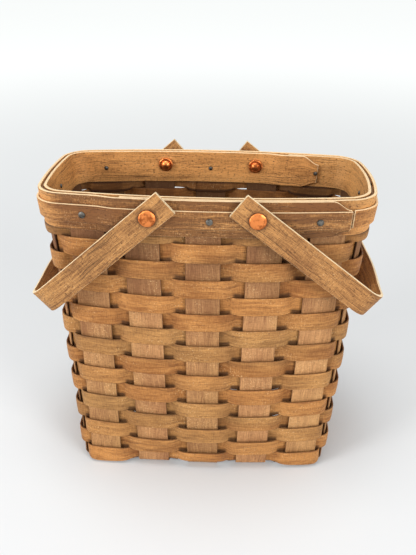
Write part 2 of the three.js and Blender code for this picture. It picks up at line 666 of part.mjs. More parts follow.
// Tacks: a domed head on the trim, a shank through the rim and a clinched tip inside
for (const t of tacks) {
  const here = (t.s * quarterRim) / plan(TACK_HEIGHT).quarter;
  const onTrim = here < trimFrom ? here + 4 * quarterRim : here;
  const trimHere = Math.max(trimOffset(onTrim - TACK_HEAD_R), trimOffset(onTrim + TACK_HEAD_R));
  const insideLap = t.name === "back_right";
  const outside = trimHere + TRIM_THICKNESS + FIT_GAP;
  const inside = bandFace + BAND_THICKNESS + FIT_GAP + (insideLap ? lapStep : 0);
  const profile = [
    [0, -inside - TACK_TIP], [TACK_SHANK_R * 1.6, -inside - TACK_TIP * 0.8],
    [TACK_SHANK_R * 1.9, -inside], [TACK_SHANK_R, -inside], [TACK_SHANK_R, outside],
    [TACK_HEAD_R, outside], [TACK_HEAD_R * 0.95, outside + TACK_HEAD_RISE * 0.5],
    [TACK_HEAD_R * 0.55, outside + TACK_HEAD_RISE * 0.9], [0, outside + TACK_HEAD_RISE]];
  add(`tack_${t.name}`, turned(profile, t.point, t.outward, 10), "steel");
}

export default group;
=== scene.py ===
# %% [markdown]
# # A splint basket with two swing handles
# The basket is woven from flat ash splints: wide upright stakes, narrow weavers that go round
# them, two bands that clamp the rim, and two bent-wood handles on copper rivets.
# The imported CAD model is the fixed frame. Each CAD node gets a finer surface here, worked out
# from the same sizes or ones a few millimetres off, and stays inside the CAD model's box.

import math

import bpy
import numpy as np
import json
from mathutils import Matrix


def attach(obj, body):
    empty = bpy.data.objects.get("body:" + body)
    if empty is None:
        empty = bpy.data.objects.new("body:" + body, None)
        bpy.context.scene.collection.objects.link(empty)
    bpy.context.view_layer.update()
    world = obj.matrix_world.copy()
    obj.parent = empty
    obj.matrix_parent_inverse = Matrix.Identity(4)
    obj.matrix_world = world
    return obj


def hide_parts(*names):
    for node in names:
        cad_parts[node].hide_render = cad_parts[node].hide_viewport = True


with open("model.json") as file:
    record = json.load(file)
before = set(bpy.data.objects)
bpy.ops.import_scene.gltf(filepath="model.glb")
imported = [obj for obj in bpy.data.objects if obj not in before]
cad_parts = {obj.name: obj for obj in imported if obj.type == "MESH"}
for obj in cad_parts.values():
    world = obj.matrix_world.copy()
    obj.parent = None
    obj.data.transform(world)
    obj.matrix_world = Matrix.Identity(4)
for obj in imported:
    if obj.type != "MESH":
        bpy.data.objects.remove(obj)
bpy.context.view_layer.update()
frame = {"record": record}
body_of_node = {
    node: body
    for body, nodes in frame["record"]["behaviour"]["bodies"].items()
    for node in nodes
}

# %% [markdown]
# ## The camera
# A photograph is a measurement. The height, tilt and lens of this camera were fitted to points
# of the photographed basket, so the render can be laid over the picture. Blender wants a matrix
# whose columns are the camera's right, its up and the way back from the object.

# %% Camera
MM = 0.001
IMAGE_HEIGHT = 555
FOCAL_PIXELS = 650.0
SENSOR_MM = 36.0
CAMERA_PLACE = np.array([20.0, -414.5, 347.6]) * MM
CAMERA_TILT, CAMERA_TURN, CAMERA_ROLL = np.radians([27.35, -2.64, 0.47])


def add_object(name, data):
    """A new object in the scene."""
    made = bpy.data.objects.new(name, data)
    bpy.context.scene.collection.objects.link(made)
    return made


def aim(thing, right, up, back, place):
    """Places an object by the columns of its matrix: right, up, the way back, and its place."""
    matrix = np.eye(4)
    matrix[:3] = np.stack([right, up, back, place], 1)
    thing.matrix_world = matrix.T.tolist()


def camera_axes(tilt, turn, roll):
    """Right, up and forward: forward is turned about Z and tilted down, then right and up roll."""
    level = np.array([math.sin(turn), math.cos(turn), 0.0])
    forward = level * math.cos(tilt) - [0.0, 0.0, math.sin(tilt)]
    right = np.array([math.cos(turn), -math.sin(turn), 0.0])
    up = np.cross(right, forward)
    rolled_right = math.cos(roll) * right + math.sin(roll) * up
    rolled_up = math.cos(roll) * up - math.sin(roll) * right
    return rolled_right, rolled_up, forward


right, up, forward = camera_axes(CAMERA_TILT, CAMERA_TURN, CAMERA_ROLL)
camera_data = bpy.data.cameras.new("photo_camera")
camera_data.sensor_width = SENSOR_MM
camera_data.lens = SENSOR_MM * FOCAL_PIXELS / IMAGE_HEIGHT
camera_data.clip_start, camera_data.clip_end = 0.01, 50.0
camera = add_object("photo_camera", camera_data)
aim(camera, right, up, -forward, CAMERA_PLACE)
bpy.context.scene.camera = camera
print("lens", round(camera_data.lens, 2), "mm")

# %% [markdown]
# ## The sizes
# These are the maker's sizes in millimetres. Stakes are cut 7/8 inch wide. The wall leans out
# and its corners grow rounder from the base to the rim. Most sizes are the CAD source's own.
# A last look at the photograph changed a few by some millimetres: the foot's tuck, the rim's
# end bulge and the ends of both laps. It also added the eases, which only this file has: the
# lower sides stand out, the lower left corner comes forward and the left end sags.

# %% Sizes in millimetres
STAKE_WIDTH, STAKE_THICKNESS = 22.2, 1.2
WEAVER_THICKNESS = 1.1
FIT_GAP = 0.3
RIM_HEIGHT = 211.5
BASE_HALF_LENGTH, RIM_HALF_LENGTH = 86.8, 101.2
BASE_HALF_DEPTH, RIM_HALF_DEPTH = 41.6, 41.5
FLARE, BELLY = 0.8, 3.4
FOOT_TUCK, FOOT_RISE = 3.5, 12.0
BASE_CORNER, RIM_CORNER = 7.0, 11.8
BASE_BULGE, RIM_BULGE = 8.2, 8.2
RIM_END_BULGE, LEFT_END_SHARE = 4.9, 0.55
SIDE_EASE, EASE_HEIGHT, EASE_FADE = 1.5, 112.0, 8.0
LEFT_FORWARD, SKEW_RISE, SKEW_POWER = 5.0, 25.0, 1.5
LEFT_SAG, SAG_RISE = 1.2, 26.0
FOLD_RADIUS = 3.5
LONG_PITCH_BASE, LONG_PITCH_RIM = 35.7, 38.5
CROSS_PITCH_BASE, CROSS_PITCH_RIM = 26.6, 28.6
FIRST_STAKE_LEAN = 4.5
LONG_NUMBERS, CROSS_NUMBERS = (-2, -1, 0, 1, 2), (-1, 0, 1)
ROWS = 16
FIRST_ROW_BOTTOM, FIRST_ROW_TOP, LAST_ROW_SHOWN = 8.0, 15.0, 5.9
FIRST_ROW_DIP, ROW_PITCH_GROWTH = 4.6, 0.024
WEAVE_SWING = 2.6
SCARF_RAMP = 2.0
BAND_HEIGHT, BAND_THICKNESS = 22.9, 2.0
TRIM_HEIGHT, TRIM_THICKNESS, TRIM_ABOVE_BAND_BOTTOM = 11.5, 1.6, 5.4
STAKE_BELOW_RIM = 1.0
OUTER_LAP_FROM, OUTER_LAP_END = -50.0, 88.0
INNER_LAP_FROM, INNER_LAP_END = 56.0, 78.0
LAP_RAMP, LAP_CLEARANCE, LAP_CORNER_CUT = 14.0, 2.0, 6.0
TRIM_BUTT_GAP = 1.5
PIVOT_BELOW_RIM, PIVOT_INSET = 9.6, 5.6
HANDLE_WIDTH, HANDLE_THICKNESS, HANDLE_TAIL = 17.0, 2.2, 14.8
HANDLE_OVERHANG, HANDLE_BEND, HANDLE_BOW = 27.5, 12.7, 3.0
HANDLE_SIDE_GAP = 0.4
LEFT_DROP, RIGHT_DROP = math.radians(41.3), math.radians(37.8)
RIVET_SHANK_R, RIVET_HEAD_R, RIVET_HEAD_RISE = 1.9, 5.2, 1.5
PEEN_R, PEEN_RISE = 3.4, 2.2
BURR_R, BURR_THICKNESS, BURR_SLANT_ROOM = 5.0, 1.2, 0.45
TACK_SHANK_R, TACK_HEAD_R, TACK_HEAD_RISE, TACK_TIP = 0.8, 2.15, 0.8, 0.7
TACK_BELOW_RIM = 12.2

BASE_SWING = (STAKE_THICKNESS + FIT_GAP) / 2
BASE_LIFT = BASE_SWING + STAKE_THICKNESS / 2
FOLD_ARC = FOLD_RADIUS * math.pi / 2
HALF_STAKE = STAKE_WIDTH / 2
PIVOT_HEIGHT = RIM_HEIGHT - PIVOT_BELOW_RIM
print("pivot height", PIVOT_HEIGHT, "mm")

# %% [markdown]
# ## The wall as a surface
# Every splint lies on one wall, so the wall is written once, as a point for each distance
# `s` round it, each run `v` up it and each offset `o` out of it. All of it works on whole arrays.


# %% Plan of the wall
def mix(a, b, t):
    """Straight blend: a where t is 0, b where t is 1."""
    return a + (b - a) * t


def smooth(t):
    """S-curve from 0 to 1."""
    t = np.clip(t, 0, 1)
    return t * t * (3 - 2 * t)


def plan(z):
    """Half sizes, corner radius and bulges of the plan at a height, and a quarter of the way
    round it without the bulges. Halfway up, the corners stand in by the flare and the long
    walls out by the belly. The lower sides are eased out, and the foot is tucked in."""
    t = z / RIM_HEIGHT
    halfway = 4 * t * (1 - t)
    ease = SIDE_EASE / (1 + np.exp((z - EASE_HEIGHT) / EASE_FADE))
    a = mix(BASE_HALF_LENGTH, RIM_HALF_LENGTH, t) - FLARE * halfway + ease
    b = mix(BASE_HALF_DEPTH, RIM_HALF_DEPTH, t) - FLARE * halfway
    r = mix(BASE_CORNER, RIM_CORNER, t)
    tuck = FOOT_TUCK * np.exp(-z / FOOT_RISE)
    bulge = mix(BASE_BULGE, RIM_BULGE, t) + BELLY * halfway - tuck
    end_bulge = RIM_END_BULGE * t**3
    return a, b, r, bulge, end_bulge, a - r + r * math.pi / 2 + b - r


def skew(x, z):
    """How far the left side stands forward: a power of the way left, dying away upwards."""
    left = np.clip(-x / BASE_HALF_LENGTH, 0, 1)
    return LEFT_FORWARD * left**SKEW_POWER * np.exp(-z / SKEW_RISE)


def plan_point(s, z):
    """x and y at distance s round the plan: a flat, a quarter circle and a flat in each
    quadrant, with every side pushed out by a parabola."""
    s, z = np.broadcast_arrays(np.asarray(s, float), np.asarray(z, float))
    a, b, r, bulge, end_bulge, quarter = plan(z)
    around = np.mod(s, 4 * quarter)
    quadrant = np.minimum(np.floor(around / quarter), 3).astype(int)
    here = around - quadrant * quarter
    way = np.where(quadrant % 2 == 0, here, quarter - here)
    flat, arc = a - r, r * math.pi / 2
    turn = np.clip((way - flat) / r, 0, math.pi / 2)
    x = np.minimum(way, flat) + r * np.sin(turn)
    y = b - r + r * np.cos(turn) - np.maximum(way - flat - arc, 0)
    long = bulge * (1 - (x / a) ** 2) * (y / b)
    end = end_bulge * (1 - (y / b) ** 2) * (x / a)
    side_x = np.where(quadrant < 2, 1.0, -1.0)
    side_y = np.where((quadrant == 0) | (quadrant == 3), -1.0, 1.0)
    x = side_x * (x + end * np.where(quadrant < 2, 1.0, LEFT_END_SHARE))
    return x, side_y * (y + long) - skew(x, z)


def plan_normal(s, z):
    """Outward direction of the plan: the chord over a millimetre, turned by a quarter turn."""
    x0, y0 = plan_point(s - 0.5, z)
    x1, y1 = plan_point(s + 0.5, z)
    length = np.hypot(x1 - x0, y1 - y0)
    return (y1 - y0) / length, -(x1 - x0) / length


print("a quarter of the way round the rim:", round(float(plan(RIM_HEIGHT)[-1]), 1), "mm")


# %% Up the wall
def run_from_height(z):
    """Run up the wall of a point at height z above the fold."""
    return z - BASE_LIFT - FOLD_RADIUS + FOLD_ARC


def wall_point(s, v, o, pull=None):
    """Point of the wall: a quarter circle over the fold, then up with the plan's growth, and
    moved o along the normal. A splint that folds is drawn in along its own pull."""
    s, v, o = np.broadcast_arrays(*(np.asarray(part, float) for part in (s, v, o)))
    turn = np.minimum(v / FOLD_RADIUS, math.pi / 2)
    z = BASE_LIFT + FOLD_RADIUS * (1 - np.cos(turn)) + np.maximum(v - FOLD_ARC, 0)
    draw_in = FOLD_RADIUS * (1 - np.sin(turn))
    (x, y), (x_up, y_up) = plan_point(s, z), plan_point(s, z + 1)
    nx, ny = plan_normal(s, z)
    lean = (x_up - x) * nx + (y_up - y) * ny
    sine = np.sin(turn)
    normal = np.stack([nx * sine, ny * sine, -np.cos(turn) - lean * sine], -1)
    normal /= np.linalg.norm(normal, axis=-1, keepdims=True)
    inward = (nx, ny) if pull is None else pull
    point = np.stack([x - inward[0] * draw_in, y - inward[1] * draw_in, z], -1)
    return point + normal * o[..., None]


print("the wall runs", round(run_from_height(RIM_HEIGHT), 1), "mm up from the fold")


# %% Where the stakes stand
def stake_middles(z):
    """Distances round the plan of the stakes' middles, one row each, from the front middle
    towards +X: five on each long wall and three on each end."""
    z = np.asarray(z, float)
    t = z / RIM_HEIGHT
    quarter = plan(z)[-1]
    long = mix(LONG_PITCH_BASE, LONG_PITCH_RIM, t)
    cross = mix(CROSS_PITCH_BASE, CROSS_PITCH_RIM, t)
    middles = [0 * long, long, 2 * long]
    middles += [quarter + k * cross for k in CROSS_NUMBERS]
    middles += [2 * quarter + k * long for k in LONG_NUMBERS]
    middles += [3 * quarter + k * cross for k in CROSS_NUMBERS]
    middles += [4 * quarter - 2 * long + FIRST_STAKE_LEAN * t, 4 * quarter - long]
    return np.stack(middles)


STAKES_ROUND = len(stake_middles(0.0))


def stake_middle(m, z):
    """Middle of stake m at heights z, one row for each m, where m may run past one turn."""
    m = np.atleast_1d(m).astype(int)
    turns = m // STAKES_ROUND
    middles = stake_middles(z)[m - turns * STAKES_ROUND]
    shape = (-1,) + (1,) * (middles.ndim - 1)
    return middles + turns.reshape(shape) * 4 * plan(np.asarray(z, float))[-1]


pivot_stake = mix(LONG_PITCH_BASE, LONG_PITCH_RIM, PIVOT_HEIGHT / RIM_HEIGHT)
PIVOT_HALF_SPAN = pivot_stake - PIVOT_INSET
HANDLE_REACH = RIM_HALF_LENGTH - PIVOT_HALF_SPAN + HANDLE_OVERHANG
print("stakes", STAKES_ROUND, "handle reach", round(HANDLE_REACH, 1), "mm")

# %% [markdown]
# ## A splint's own cross-section
# A splint is a flat strip with slightly softened corners. The corner shows as a thin bright
# line, so it is real geometry: each half of the outline has a few points round each corner
# and a support line beside it, which keeps the broad face flat in smooth shading.

# %% Splint cross-section
CORNER_STEPS, FACE_STEPS = 3, 9
FACE_MARGIN = 1.6


def outline(width, thickness, corner):
    """Across, depth and edge of a rounded rectangle, and the distance round it, which carries
    the grain over the edges. The outer half goes from the low edge to the high one, and the
    inner half back again. Edge is 1 on the sawn edge and 0 on the broad face."""
    turn = np.linspace(0, math.pi / 2, CORNER_STEPS)
    low_across = -width / 2 + corner * (1 - np.cos(turn))
    low_depth = thickness / 2 - corner * (1 - np.sin(turn))
    half_face = width / 2 - FACE_MARGIN * corner
    face = np.linspace(-half_face, half_face, FACE_STEPS)
    across = np.concatenate([low_across, face, -low_across[::-1]])
    depth = np.concatenate([low_depth, 0 * face + thickness / 2, low_depth[::-1]])
    edge = np.concatenate([np.cos(turn), 0 * face, np.cos(turn)[::-1]])
    across, edge = (np.concatenate([half, half[::-1]]) for half in (across, edge))
    depth = np.concatenate([depth, -depth[::-1]])
    steps = np.hypot(np.diff(across, append=across[0]), np.diff(depth, append=depth[0]))
    return across, depth, edge, np.concatenate([[0], np.cumsum(steps)])


print("outline points", len(outline(STAKE_WIDTH, STAKE_THICKNESS, 0.4)[0]))

# %% [markdown]
# ## From a grid of points to a mesh
# A splint is its outline carried along a path, so its points form a grid. The faces are the
# grid's cells, plus a cap at each end that joins the outer half to the inner half.
# The UV map "grain" holds real distances along and across the splint, so grain drawn on it
# follows every bend. Three more numbers go with each point: tone, sawn edge, and a darkening
# that is mostly painted shade with a little grime. Tone carries some painted shade and highlight
# too.

# %% Mesh maker
CAP_SHIFT = 1.5


def grid_faces(rows, columns):
    """Four corners of each cell of a grid that is closed across its columns."""
    i, j = np.meshgrid(np.arange(rows - 1), np.arange(columns), indexing="ij")
    i, j = i.ravel(), j.ravel()
    first, after = i * columns + j, i * columns + (j + 1) % columns
    return np.stack([first, first + columns, after + columns, after], 1)


def cap_faces(row, columns, turned):
    """Cells that join the outer half of one row of the grid to its inner half."""
    j = np.arange(columns // 2 - 1)
    cells = row * columns + np.stack([j, j + 1, columns - 2 - j, columns - 1 - j], 1)
    return cells[:, ::-1] if turned else cells


def signed_volume(points, faces):
    """Six times the enclosed volume: the sum of a . (b x c) over the two triangles of a face."""
    a, b, c, d = (points[faces[:, k]] for k in range(4))
    return np.sum(a * np.cross(b, c)) + np.sum(a * np.cross(c, d))


def new_mesh(name, points, faces):
    """A smooth mesh object from points in millimetres and faces."""
    mesh = bpy.data.meshes.new(name)
    mesh.from_pydata((points * MM).tolist(), [], faces)
    mesh.validate()
    mesh.shade_smooth()
    return add_object(name, mesh)


def splint_mesh(name, grid, round_way, finish, grain_start):
    """Closed skin of a splint from a grid of points, rows along and columns round, with its
    grain map and finish numbers. On the map a cap's inner half is shifted off the outer."""
    rows, columns = grid.shape[:2]
    points = grid.reshape(-1, 3)
    middle = grid[:, [columns // 4, 3 * columns // 4]].mean(1)
    along = np.concatenate([[0], np.cumsum(np.linalg.norm(np.diff(middle, axis=0), axis=1))])
    skin = grid_faces(rows, columns)
    caps = [cap_faces(0, columns, True), cap_faces(rows - 1, columns, False)]
    faces = np.concatenate([skin, *caps])
    corner_row, column = np.divmod(faces, columns)
    in_cap = np.arange(len(faces))[:, None] >= len(skin)
    inner = in_cap & (column >= columns // 2)
    wrapped = ~in_cap & (column == 0) & (column.max(1, keepdims=True) == columns - 1)
    across = round_way[np.where(inner, columns - 1 - column, column + columns * wrapped)]
    uv = np.stack([along[corner_row] + CAP_SHIFT * inner, across], -1) + grain_start
    uv = uv.reshape(-1, 2)
    if signed_volume(points, faces) < 0:
        order = np.arange(faces.size).reshape(faces.shape)[:, ::-1].ravel()
        faces, uv = faces[:, ::-1], uv[order]
    piece = new_mesh(name, points, faces.tolist())
    layer = piece.data.uv_layers.new(name="grain")
    layer.uv.foreach_set("vector", (uv * MM).astype(np.float32).ravel())
    numbers = piece.data.attributes.new("finish", "FLOAT_VECTOR", "POINT")
    numbers.data.foreach_set("vector", finish.astype(np.float32).ravel())
    return piece


# %% [markdown]
# ## Chance, with a seed
# No two splints are alike, yet the script must give the same basket each time. Each piece gets
# its own seeded generator, and a slow wander along a splint is a sum of a few sine waves.

# %% Seeded variation
FIRST_SEED = 7000
GRAIN_ROOM = 900, 90
EDGE_RUNS, EDGE_RUN = np.array([0, 0.25, 0.6]), 1.5


def chance(number):
    """Random numbers that belong to one piece."""
    return np.random.default_rng(FIRST_SEED + number)


def wander(rng, distance, wavelength, waves=5):
    """Smooth random curve between about -1 and 1: sine waves with random phases, whose lengths
    spread round the given one."""
    lengths = wavelength * rng.uniform(0.6, 1.8, waves)
    phases = rng.uniform(0, 2 * math.pi, waves)
    curve = np.sin(2 * math.pi * distance[:, None] / lengths + phases)
    return curve.sum(1) / math.sqrt(waves)


def dress(piece, node, material):
    """Gives a finished piece its material and body, and lets it stand for its CAD node."""
    piece.data.materials.append(material)
    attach(piece, body_of_node[node])
    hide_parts(node)


def strip_ends(count, corner):
    """How a strip's section ends: its depth, drawn in at both ends, and how sawn each row is."""
    depth_share, sawn = np.ones(count), np.zeros(count)
    depth_share[[0, -1]] = corner
    sawn[[0, 1, -2, -1]] = [1, 0.6, 0.6, 1]
    return depth_share[:, None], sawn[:, None]


def make_splint(rng, name, node, slot, material, grid, round_way, tone, edge, grime_and_shade):
    """Makes and dresses a splint. Its grain starts at a place of its own on the map, and its
    three finish numbers are spread over the grid."""
    parts = [np.broadcast_to(part, grid.shape[:2]) for part in (tone, edge, grime_and_shade)]
    grain_start = np.array([rng.uniform(0, room) for room in GRAIN_ROOM])
    piece = splint_mesh(name, grid, round_way, np.stack(parts, -1), grain_start)
    dress(piece, node, material)
    return piece


# %% [markdown]
# ## Shader sums as Python
# A material is a formula, so it is written as one. A small class wraps a node's output and
# lets the usual signs add Math nodes, and one method makes every other node.


# %% Sums of sockets
class Value:
    """An output socket that can be added, subtracted, multiplied and clamped."""

    def __init__(self, maker, socket):
        self.maker, self.socket = maker, socket

    def math(self, operation, other, clamped=False):
        inputs = {0: self, 1: other}
        return self.maker.node("Math", inputs, operation=operation, use_clamp=clamped)

    def __add__(self, other):
        return self.math("ADD", other)

    __radd__ = __add__

    def __mul__(self, other):
        return self.math("MULTIPLY", other)

    __rmul__ = __mul__

    def __sub__(self, other):
        return self.math("SUBTRACT", other)

    def output(self, which):
        """Another output of the same node."""
        return Value(self.maker, self.socket.node.outputs[which])

    def clamp(self):
        return self.math("ADD", 0.0, True)


# %% Nodes of a material or world
class Maker:
    """Builds the nodes of one material or world."""

    def __init__(self, owner):
        self.owner = owner
        owner.use_nodes = True
        self.tree = owner.node_tree
        self.tree.nodes.clear()

    def node(self, kind, inputs=None, output=0, **settings):
        """Any node whose type is ShaderNode plus the kind: its settings first, then the values
        or links of its sockets."""
        made = self.tree.nodes.new("ShaderNode" + kind)
        for key, value in settings.items():
            setattr(made, key, value)
        for key, value in (inputs or {}).items():
            if isinstance(value, Value):
                self.tree.links.new(value.socket, made.inputs[key])
            else:
                made.inputs[key].default_value = value
        return Value(self, made.outputs[output]) if len(made.outputs) else made

    def between(self, value, low, high):
        """Smooth step of a value: 0 up to low, 1 from high on."""
        inputs = {0: value, 1: low, 2: high}
        return self.node("MapRange", inputs, interpolation_type="SMOOTHSTEP")

    def bump(self, height, strength, distance):
        """Small relief from a height."""
        inputs = {"Strength": strength, "Distance": distance, "Height": height}
        return self.node("Bump", inputs)

    def blend(self, share, first, second):
        """Mix of two colours."""
        return self.node("Mix", {0: share, 6: first, 7: second}, 2, data_type="RGBA")

    def finish(self, **sockets):
        """The surface itself: a Principled shader with these sockets."""
        names = {key.replace("_", " "): value for key, value in sockets.items()}
        self.node("OutputMaterial", {"Surface": self.node("BsdfPrincipled", names)})
        return self.owner


def colour(red, green, blue):
    """A colour given as it looks on a screen, from 0 to 255, as the linear light Blender uses."""
    screen = np.array([red, green, blue]) / 255
    light = np.where(screen <= 0.04045, screen / 12.92, ((screen + 0.055) / 1.055) ** 2.4)
    return (*(float(x) for x in light), 1.0)


print("honey brown is", [round(x, 3) for x in colour(176, 126, 74)])

# %% [markdown]
# ## Splint wood
# Ash splints are split along the growth rings, so their faces show long fibres, slow bands of
# tone, short dark pores, thin cracks and pale scuffs. Age has made them honey brown, some
# redder and some yellower, so light and dark are each a pair of hues. All of it is drawn on the
# "grain" map in real distances: fibres half a millimetre apart and centimetres long.


# %% Wood
PORE_BROWN, CRACK_BROWN, SHADE_AND_GRIME_BROWN = (84, 50, 26), (52, 30, 16), (62, 36, 20)
SCUFF_CREAM, SAWN_FIBRE = (232, 190, 136), (168, 118, 70)
FIBRE_CONTRAST, PATCH_CONTRAST = 1.25, 0.8
WARP = 0.005


def wood(name, light, dark, sawn_edge, roughness, depth, **amount):
    """Splint wood. Light and dark are each a pair of hues, blended by a slow wander. Between
    light and dark it goes by the piece's own tone and by five kinds of noise."""
    make = Maker(bpy.data.materials.new(name))
    place = make.node("UVMap", uv_map="grain")

    def noise(along, across, detail, rough=0.5, source=place):
        """Noise stretched by its own scale along and across the splint, in turns per metre."""
        inputs = {0: source, 1: (along, across, 1.0)}
        scaled = make.node("VectorMath", inputs, operation="MULTIPLY")
        inputs = {"Vector": scaled, "Scale": 1.0, "Detail": detail, "Roughness": rough}
        return make.node("TexNoise", inputs, noise_dimensions="2D")

    shift = make.node("CombineXYZ", {1: (noise(28, 90, 2) - 0.5) * WARP})
    bent = make.node("VectorMath", {0: place, 1: shift}, operation="ADD")
    bands = noise(9, 420, 3, 0.55, bent)
    fibres = noise(70, 2600, 3, 0.6, bent)
    threads = noise(80, 800, 3, 0.65, bent)
    hatch = noise(1500, 260, 2, 0.6)
    patches = noise(34, 70, 3)
    hue = make.between(noise(2.2, 12, 1), 0.38, 0.62)
    numbers = make.node("Attribute", None, 1, attribute_type="GEOMETRY", attribute_name="finish")
    tone = make.node("SeparateXYZ", {0: numbers})
    edge, grime_and_shade = tone.output(1), tone.output(2)
    mixed = (
        tone
        + amount["streaks"] * (bands - 0.5)
        + FIBRE_CONTRAST * (fibres - 0.5)
        + amount["grain"] * (threads - 0.5)
        + amount["cross"] * (hatch - 0.5)
        + PATCH_CONTRAST * (patches - 0.5)
    ).clamp()
    light, dark = (make.blend(hue, colour(*a), colour(*b)) for a, b in (light, dark))
    face = make.blend(mixed, dark, light)
    pore = make.between(noise(420, 2300, 1, 0.5, bent), 0.64, 0.74)
    crack = make.between(noise(16, 1000, 2, 0.5, bent), 0.66, 0.71)
    fleck = make.between(noise(900, 700, 2, 0.7), 0.6, 0.72)
    fleck = fleck * make.between(patches, 0.45, 0.65)
    marks = (pore * amount["pores"], PORE_BROWN), (crack * amount["cracks"], CRACK_BROWN)
    # The third finish number blends towards a dark brown: mostly painted shade, with a little even
    # grime.
    marks += (fleck * amount["flecks"], SCUFF_CREAM), (grime_and_shade, SHADE_AND_GRIME_BROWN)
    for share, tint in marks:
        face = make.blend(share, face, colour(*tint))
    sawn = make.blend(0.4 * fibres, colour(*sawn_edge), colour(*SAWN_FIBRE))
    worn = make.between(edge + 0.35 * (threads - 0.5), 0.45, 0.8)
    surface = make.blend(worn, face, sawn)
    hollows = 0.6 * pore + 0.8 * amount["cracks"] * crack
    height = 0.6 * fibres + 0.4 * threads + 0.4 * bands - hollows
    rough = roughness + 0.25 * (fibres - 0.5) + 0.12 * (patches - 0.5)
    return make.finish(
        Base_Color=surface,
        Roughness=rough,
        Normal=make.bump(height, 0.9, depth),
        IOR=1.45,
        Specular_IOR_Level=0.35,
    )


print("pores are", [round(x, 3) for x in colour(*PORE_BROWN)[:3]])

# %% The four woods
weaver_wood = wood(
    "honey weaver splint",
    light=((204, 142, 78), (194, 143, 84)),
    dark=((138, 84, 38), (128, 88, 46)),
    sawn_edge=(206, 158, 102),
    roughness=0.6,
    depth=0.0002,
    streaks=0.9,
    grain=1.0,
    cross=0.7,
    pores=0.4,
    cracks=0.25,
    flecks=0.55,
)
stake_wood = wood(
    "brown stake splint",
    light=((224, 167, 111), (216, 165, 105)),
    dark=((152, 102, 64), (146, 102, 62)),
    sawn_edge=(206, 156, 104),
    roughness=0.72,
    depth=0.0002,
    streaks=0.5,
    grain=0.5,
    cross=0.6,
    pores=0.35,
    cracks=0.15,
    flecks=0.9,
)
band_wood = wood(
    "rim band splint",
    light=((224, 158, 90), (214, 156, 92)),
    dark=((126, 78, 38), (118, 78, 42)),
    sawn_edge=(255, 226, 180),
    roughness=0.6,
    depth=0.00025,
    streaks=1.1,
    grain=0.9,
    cross=0.7,
    pores=0.8,
    cracks=0.5,
    flecks=0.45,
)
handle_wood = wood(
    "bent handle wood",
    light=((202, 146, 86), (196, 145, 88)),
    dark=((122, 78, 42), (118, 79, 44)),
    sawn_edge=(255, 232, 190),
    roughness=0.62,
    depth=0.0003,
    streaks=0.9,
    grain=1.1,
    cross=1.0,
    pores=0.85,
    cracks=0.55,
    flecks=0.5,
)
print("woods:", [m.name for m in (weaver_wood, stake_wood, band_wood, handle_wood)])

# %% [markdown]
# ## The weavers
# Sixteen splints run round the basket, each its own ring whose thinned ends lap behind a stake.
# A weaver passes outside one stake and inside the next. Its path could be a spline through
# hand-placed points, but one formula does all rows: a cosine of the stake count, flattened over
# each stake so that it lies on it, with the sign turned from row to row. The rows are packed
# tight, so a row's edges spread towards its neighbours where it passes a stake.

# %% Rows and wave
tightest = float(np.diff(stake_middles(FIRST_ROW_BOTTOM)[2:5]).min())
edge_offset = (STAKE_THICKNESS + WEAVER_THICKNESS) / 2 + FIT_GAP
edge_share = (edge_offset / WEAVE_SWING) ** 2
edge_cosine = math.cos(math.pi * HALF_STAKE / tightest) ** 2
wave_flatness = (edge_share - edge_cosine) / (edge_cosine * (1 - edge_share))
band_bottom = RIM_HEIGHT - BAND_HEIGHT
rows_rise = band_bottom - LAST_ROW_SHOWN - FIRST_ROW_TOP
row_pitch = rows_rise / (ROWS - 2) - ROW_PITCH_GROWTH * (ROWS - 2)


def wave(count):
    """Share of the swing at a place along the stakes: c times the root of (1 + k) / (1 + k c c)
    where c is the cosine of half a turn for each stake."""
    c = np.cos(math.pi * count)
    return c * np.sqrt((1 + wave_flatness) / (1 + wave_flatness * c * c))


def row_top(row):
    """Height of the top of a weaver row; row 0 is the ground line of the first."""
    if row == 0:
        return FIRST_ROW_BOTTOM
    if row == ROWS:
        return band_bottom
    return FIRST_ROW_TOP + row_pitch * (row - 1) + ROW_PITCH_GROWTH * (row - 1) ** 2


print("wave flatness", round(wave_flatness, 2), "row pitch", round(row_pitch, 2))

# %% Laps and swing of a row
INNER_REACH, REACH_POWER = 1.7, 6


def lap_stake(row):
    """The stake behind which a row's two ends lap. It changes from row to row."""
    if row % 2:
        return 7 if row % 4 == 1 else 9
    return 8 if row % 4 == 0 else 10


def weaver_skin(past_start_lap, before_end_lap):
    """Middle and thickness share of a row's section. In the lap the row's start keeps the outer
    half of the splint and its end the inner half."""
    half, split = WEAVER_THICKNESS / 2, FIT_GAP / 2
    low_face = mix(-half, split, np.clip(1 - past_start_lap / SCARF_RAMP, 0, 1))
    high_face = mix(half, -split, np.clip(1 - before_end_lap / SCARF_RAMP, 0, 1))
    return (low_face + high_face) / 2, (high_face - low_face) / WEAVER_THICKNESS


def weaver_swing(share):
    """The share times the full swing, which inside the wall is softly held near a reach."""
    full = WEAVE_SWING * np.abs(share)
    held = full / (1 + (full / INNER_REACH) ** REACH_POWER) ** (1 / REACH_POWER)
    return np.where(share > 0, full, -held)


print("swing out and in", [round(float(weaver_swing(x)), 2) for x in (1, -1)], "mm")

# %% Heights and dirt of a row
TOUCH, CLEAR_SHARE = 0.15, 0.22
OUTSIDE_SPREAD, INSIDE_SPREAD = 0.4, 3.2
FIRST_ROW_SETTLE = 2.2
# Strengths of painted shade on the splints: along the edges, at most, on the inner face, behind
# the stakes, in the low edge's tuck and under the rim band.
EDGE_SHADE, MOST_SHADE, INNER_SHADE = 0.5, 0.92, 0.25
BEHIND_SHADE, TUCK_SHADE, UNDER_RIM_SHADE = 0.8, 0.8, 0.9


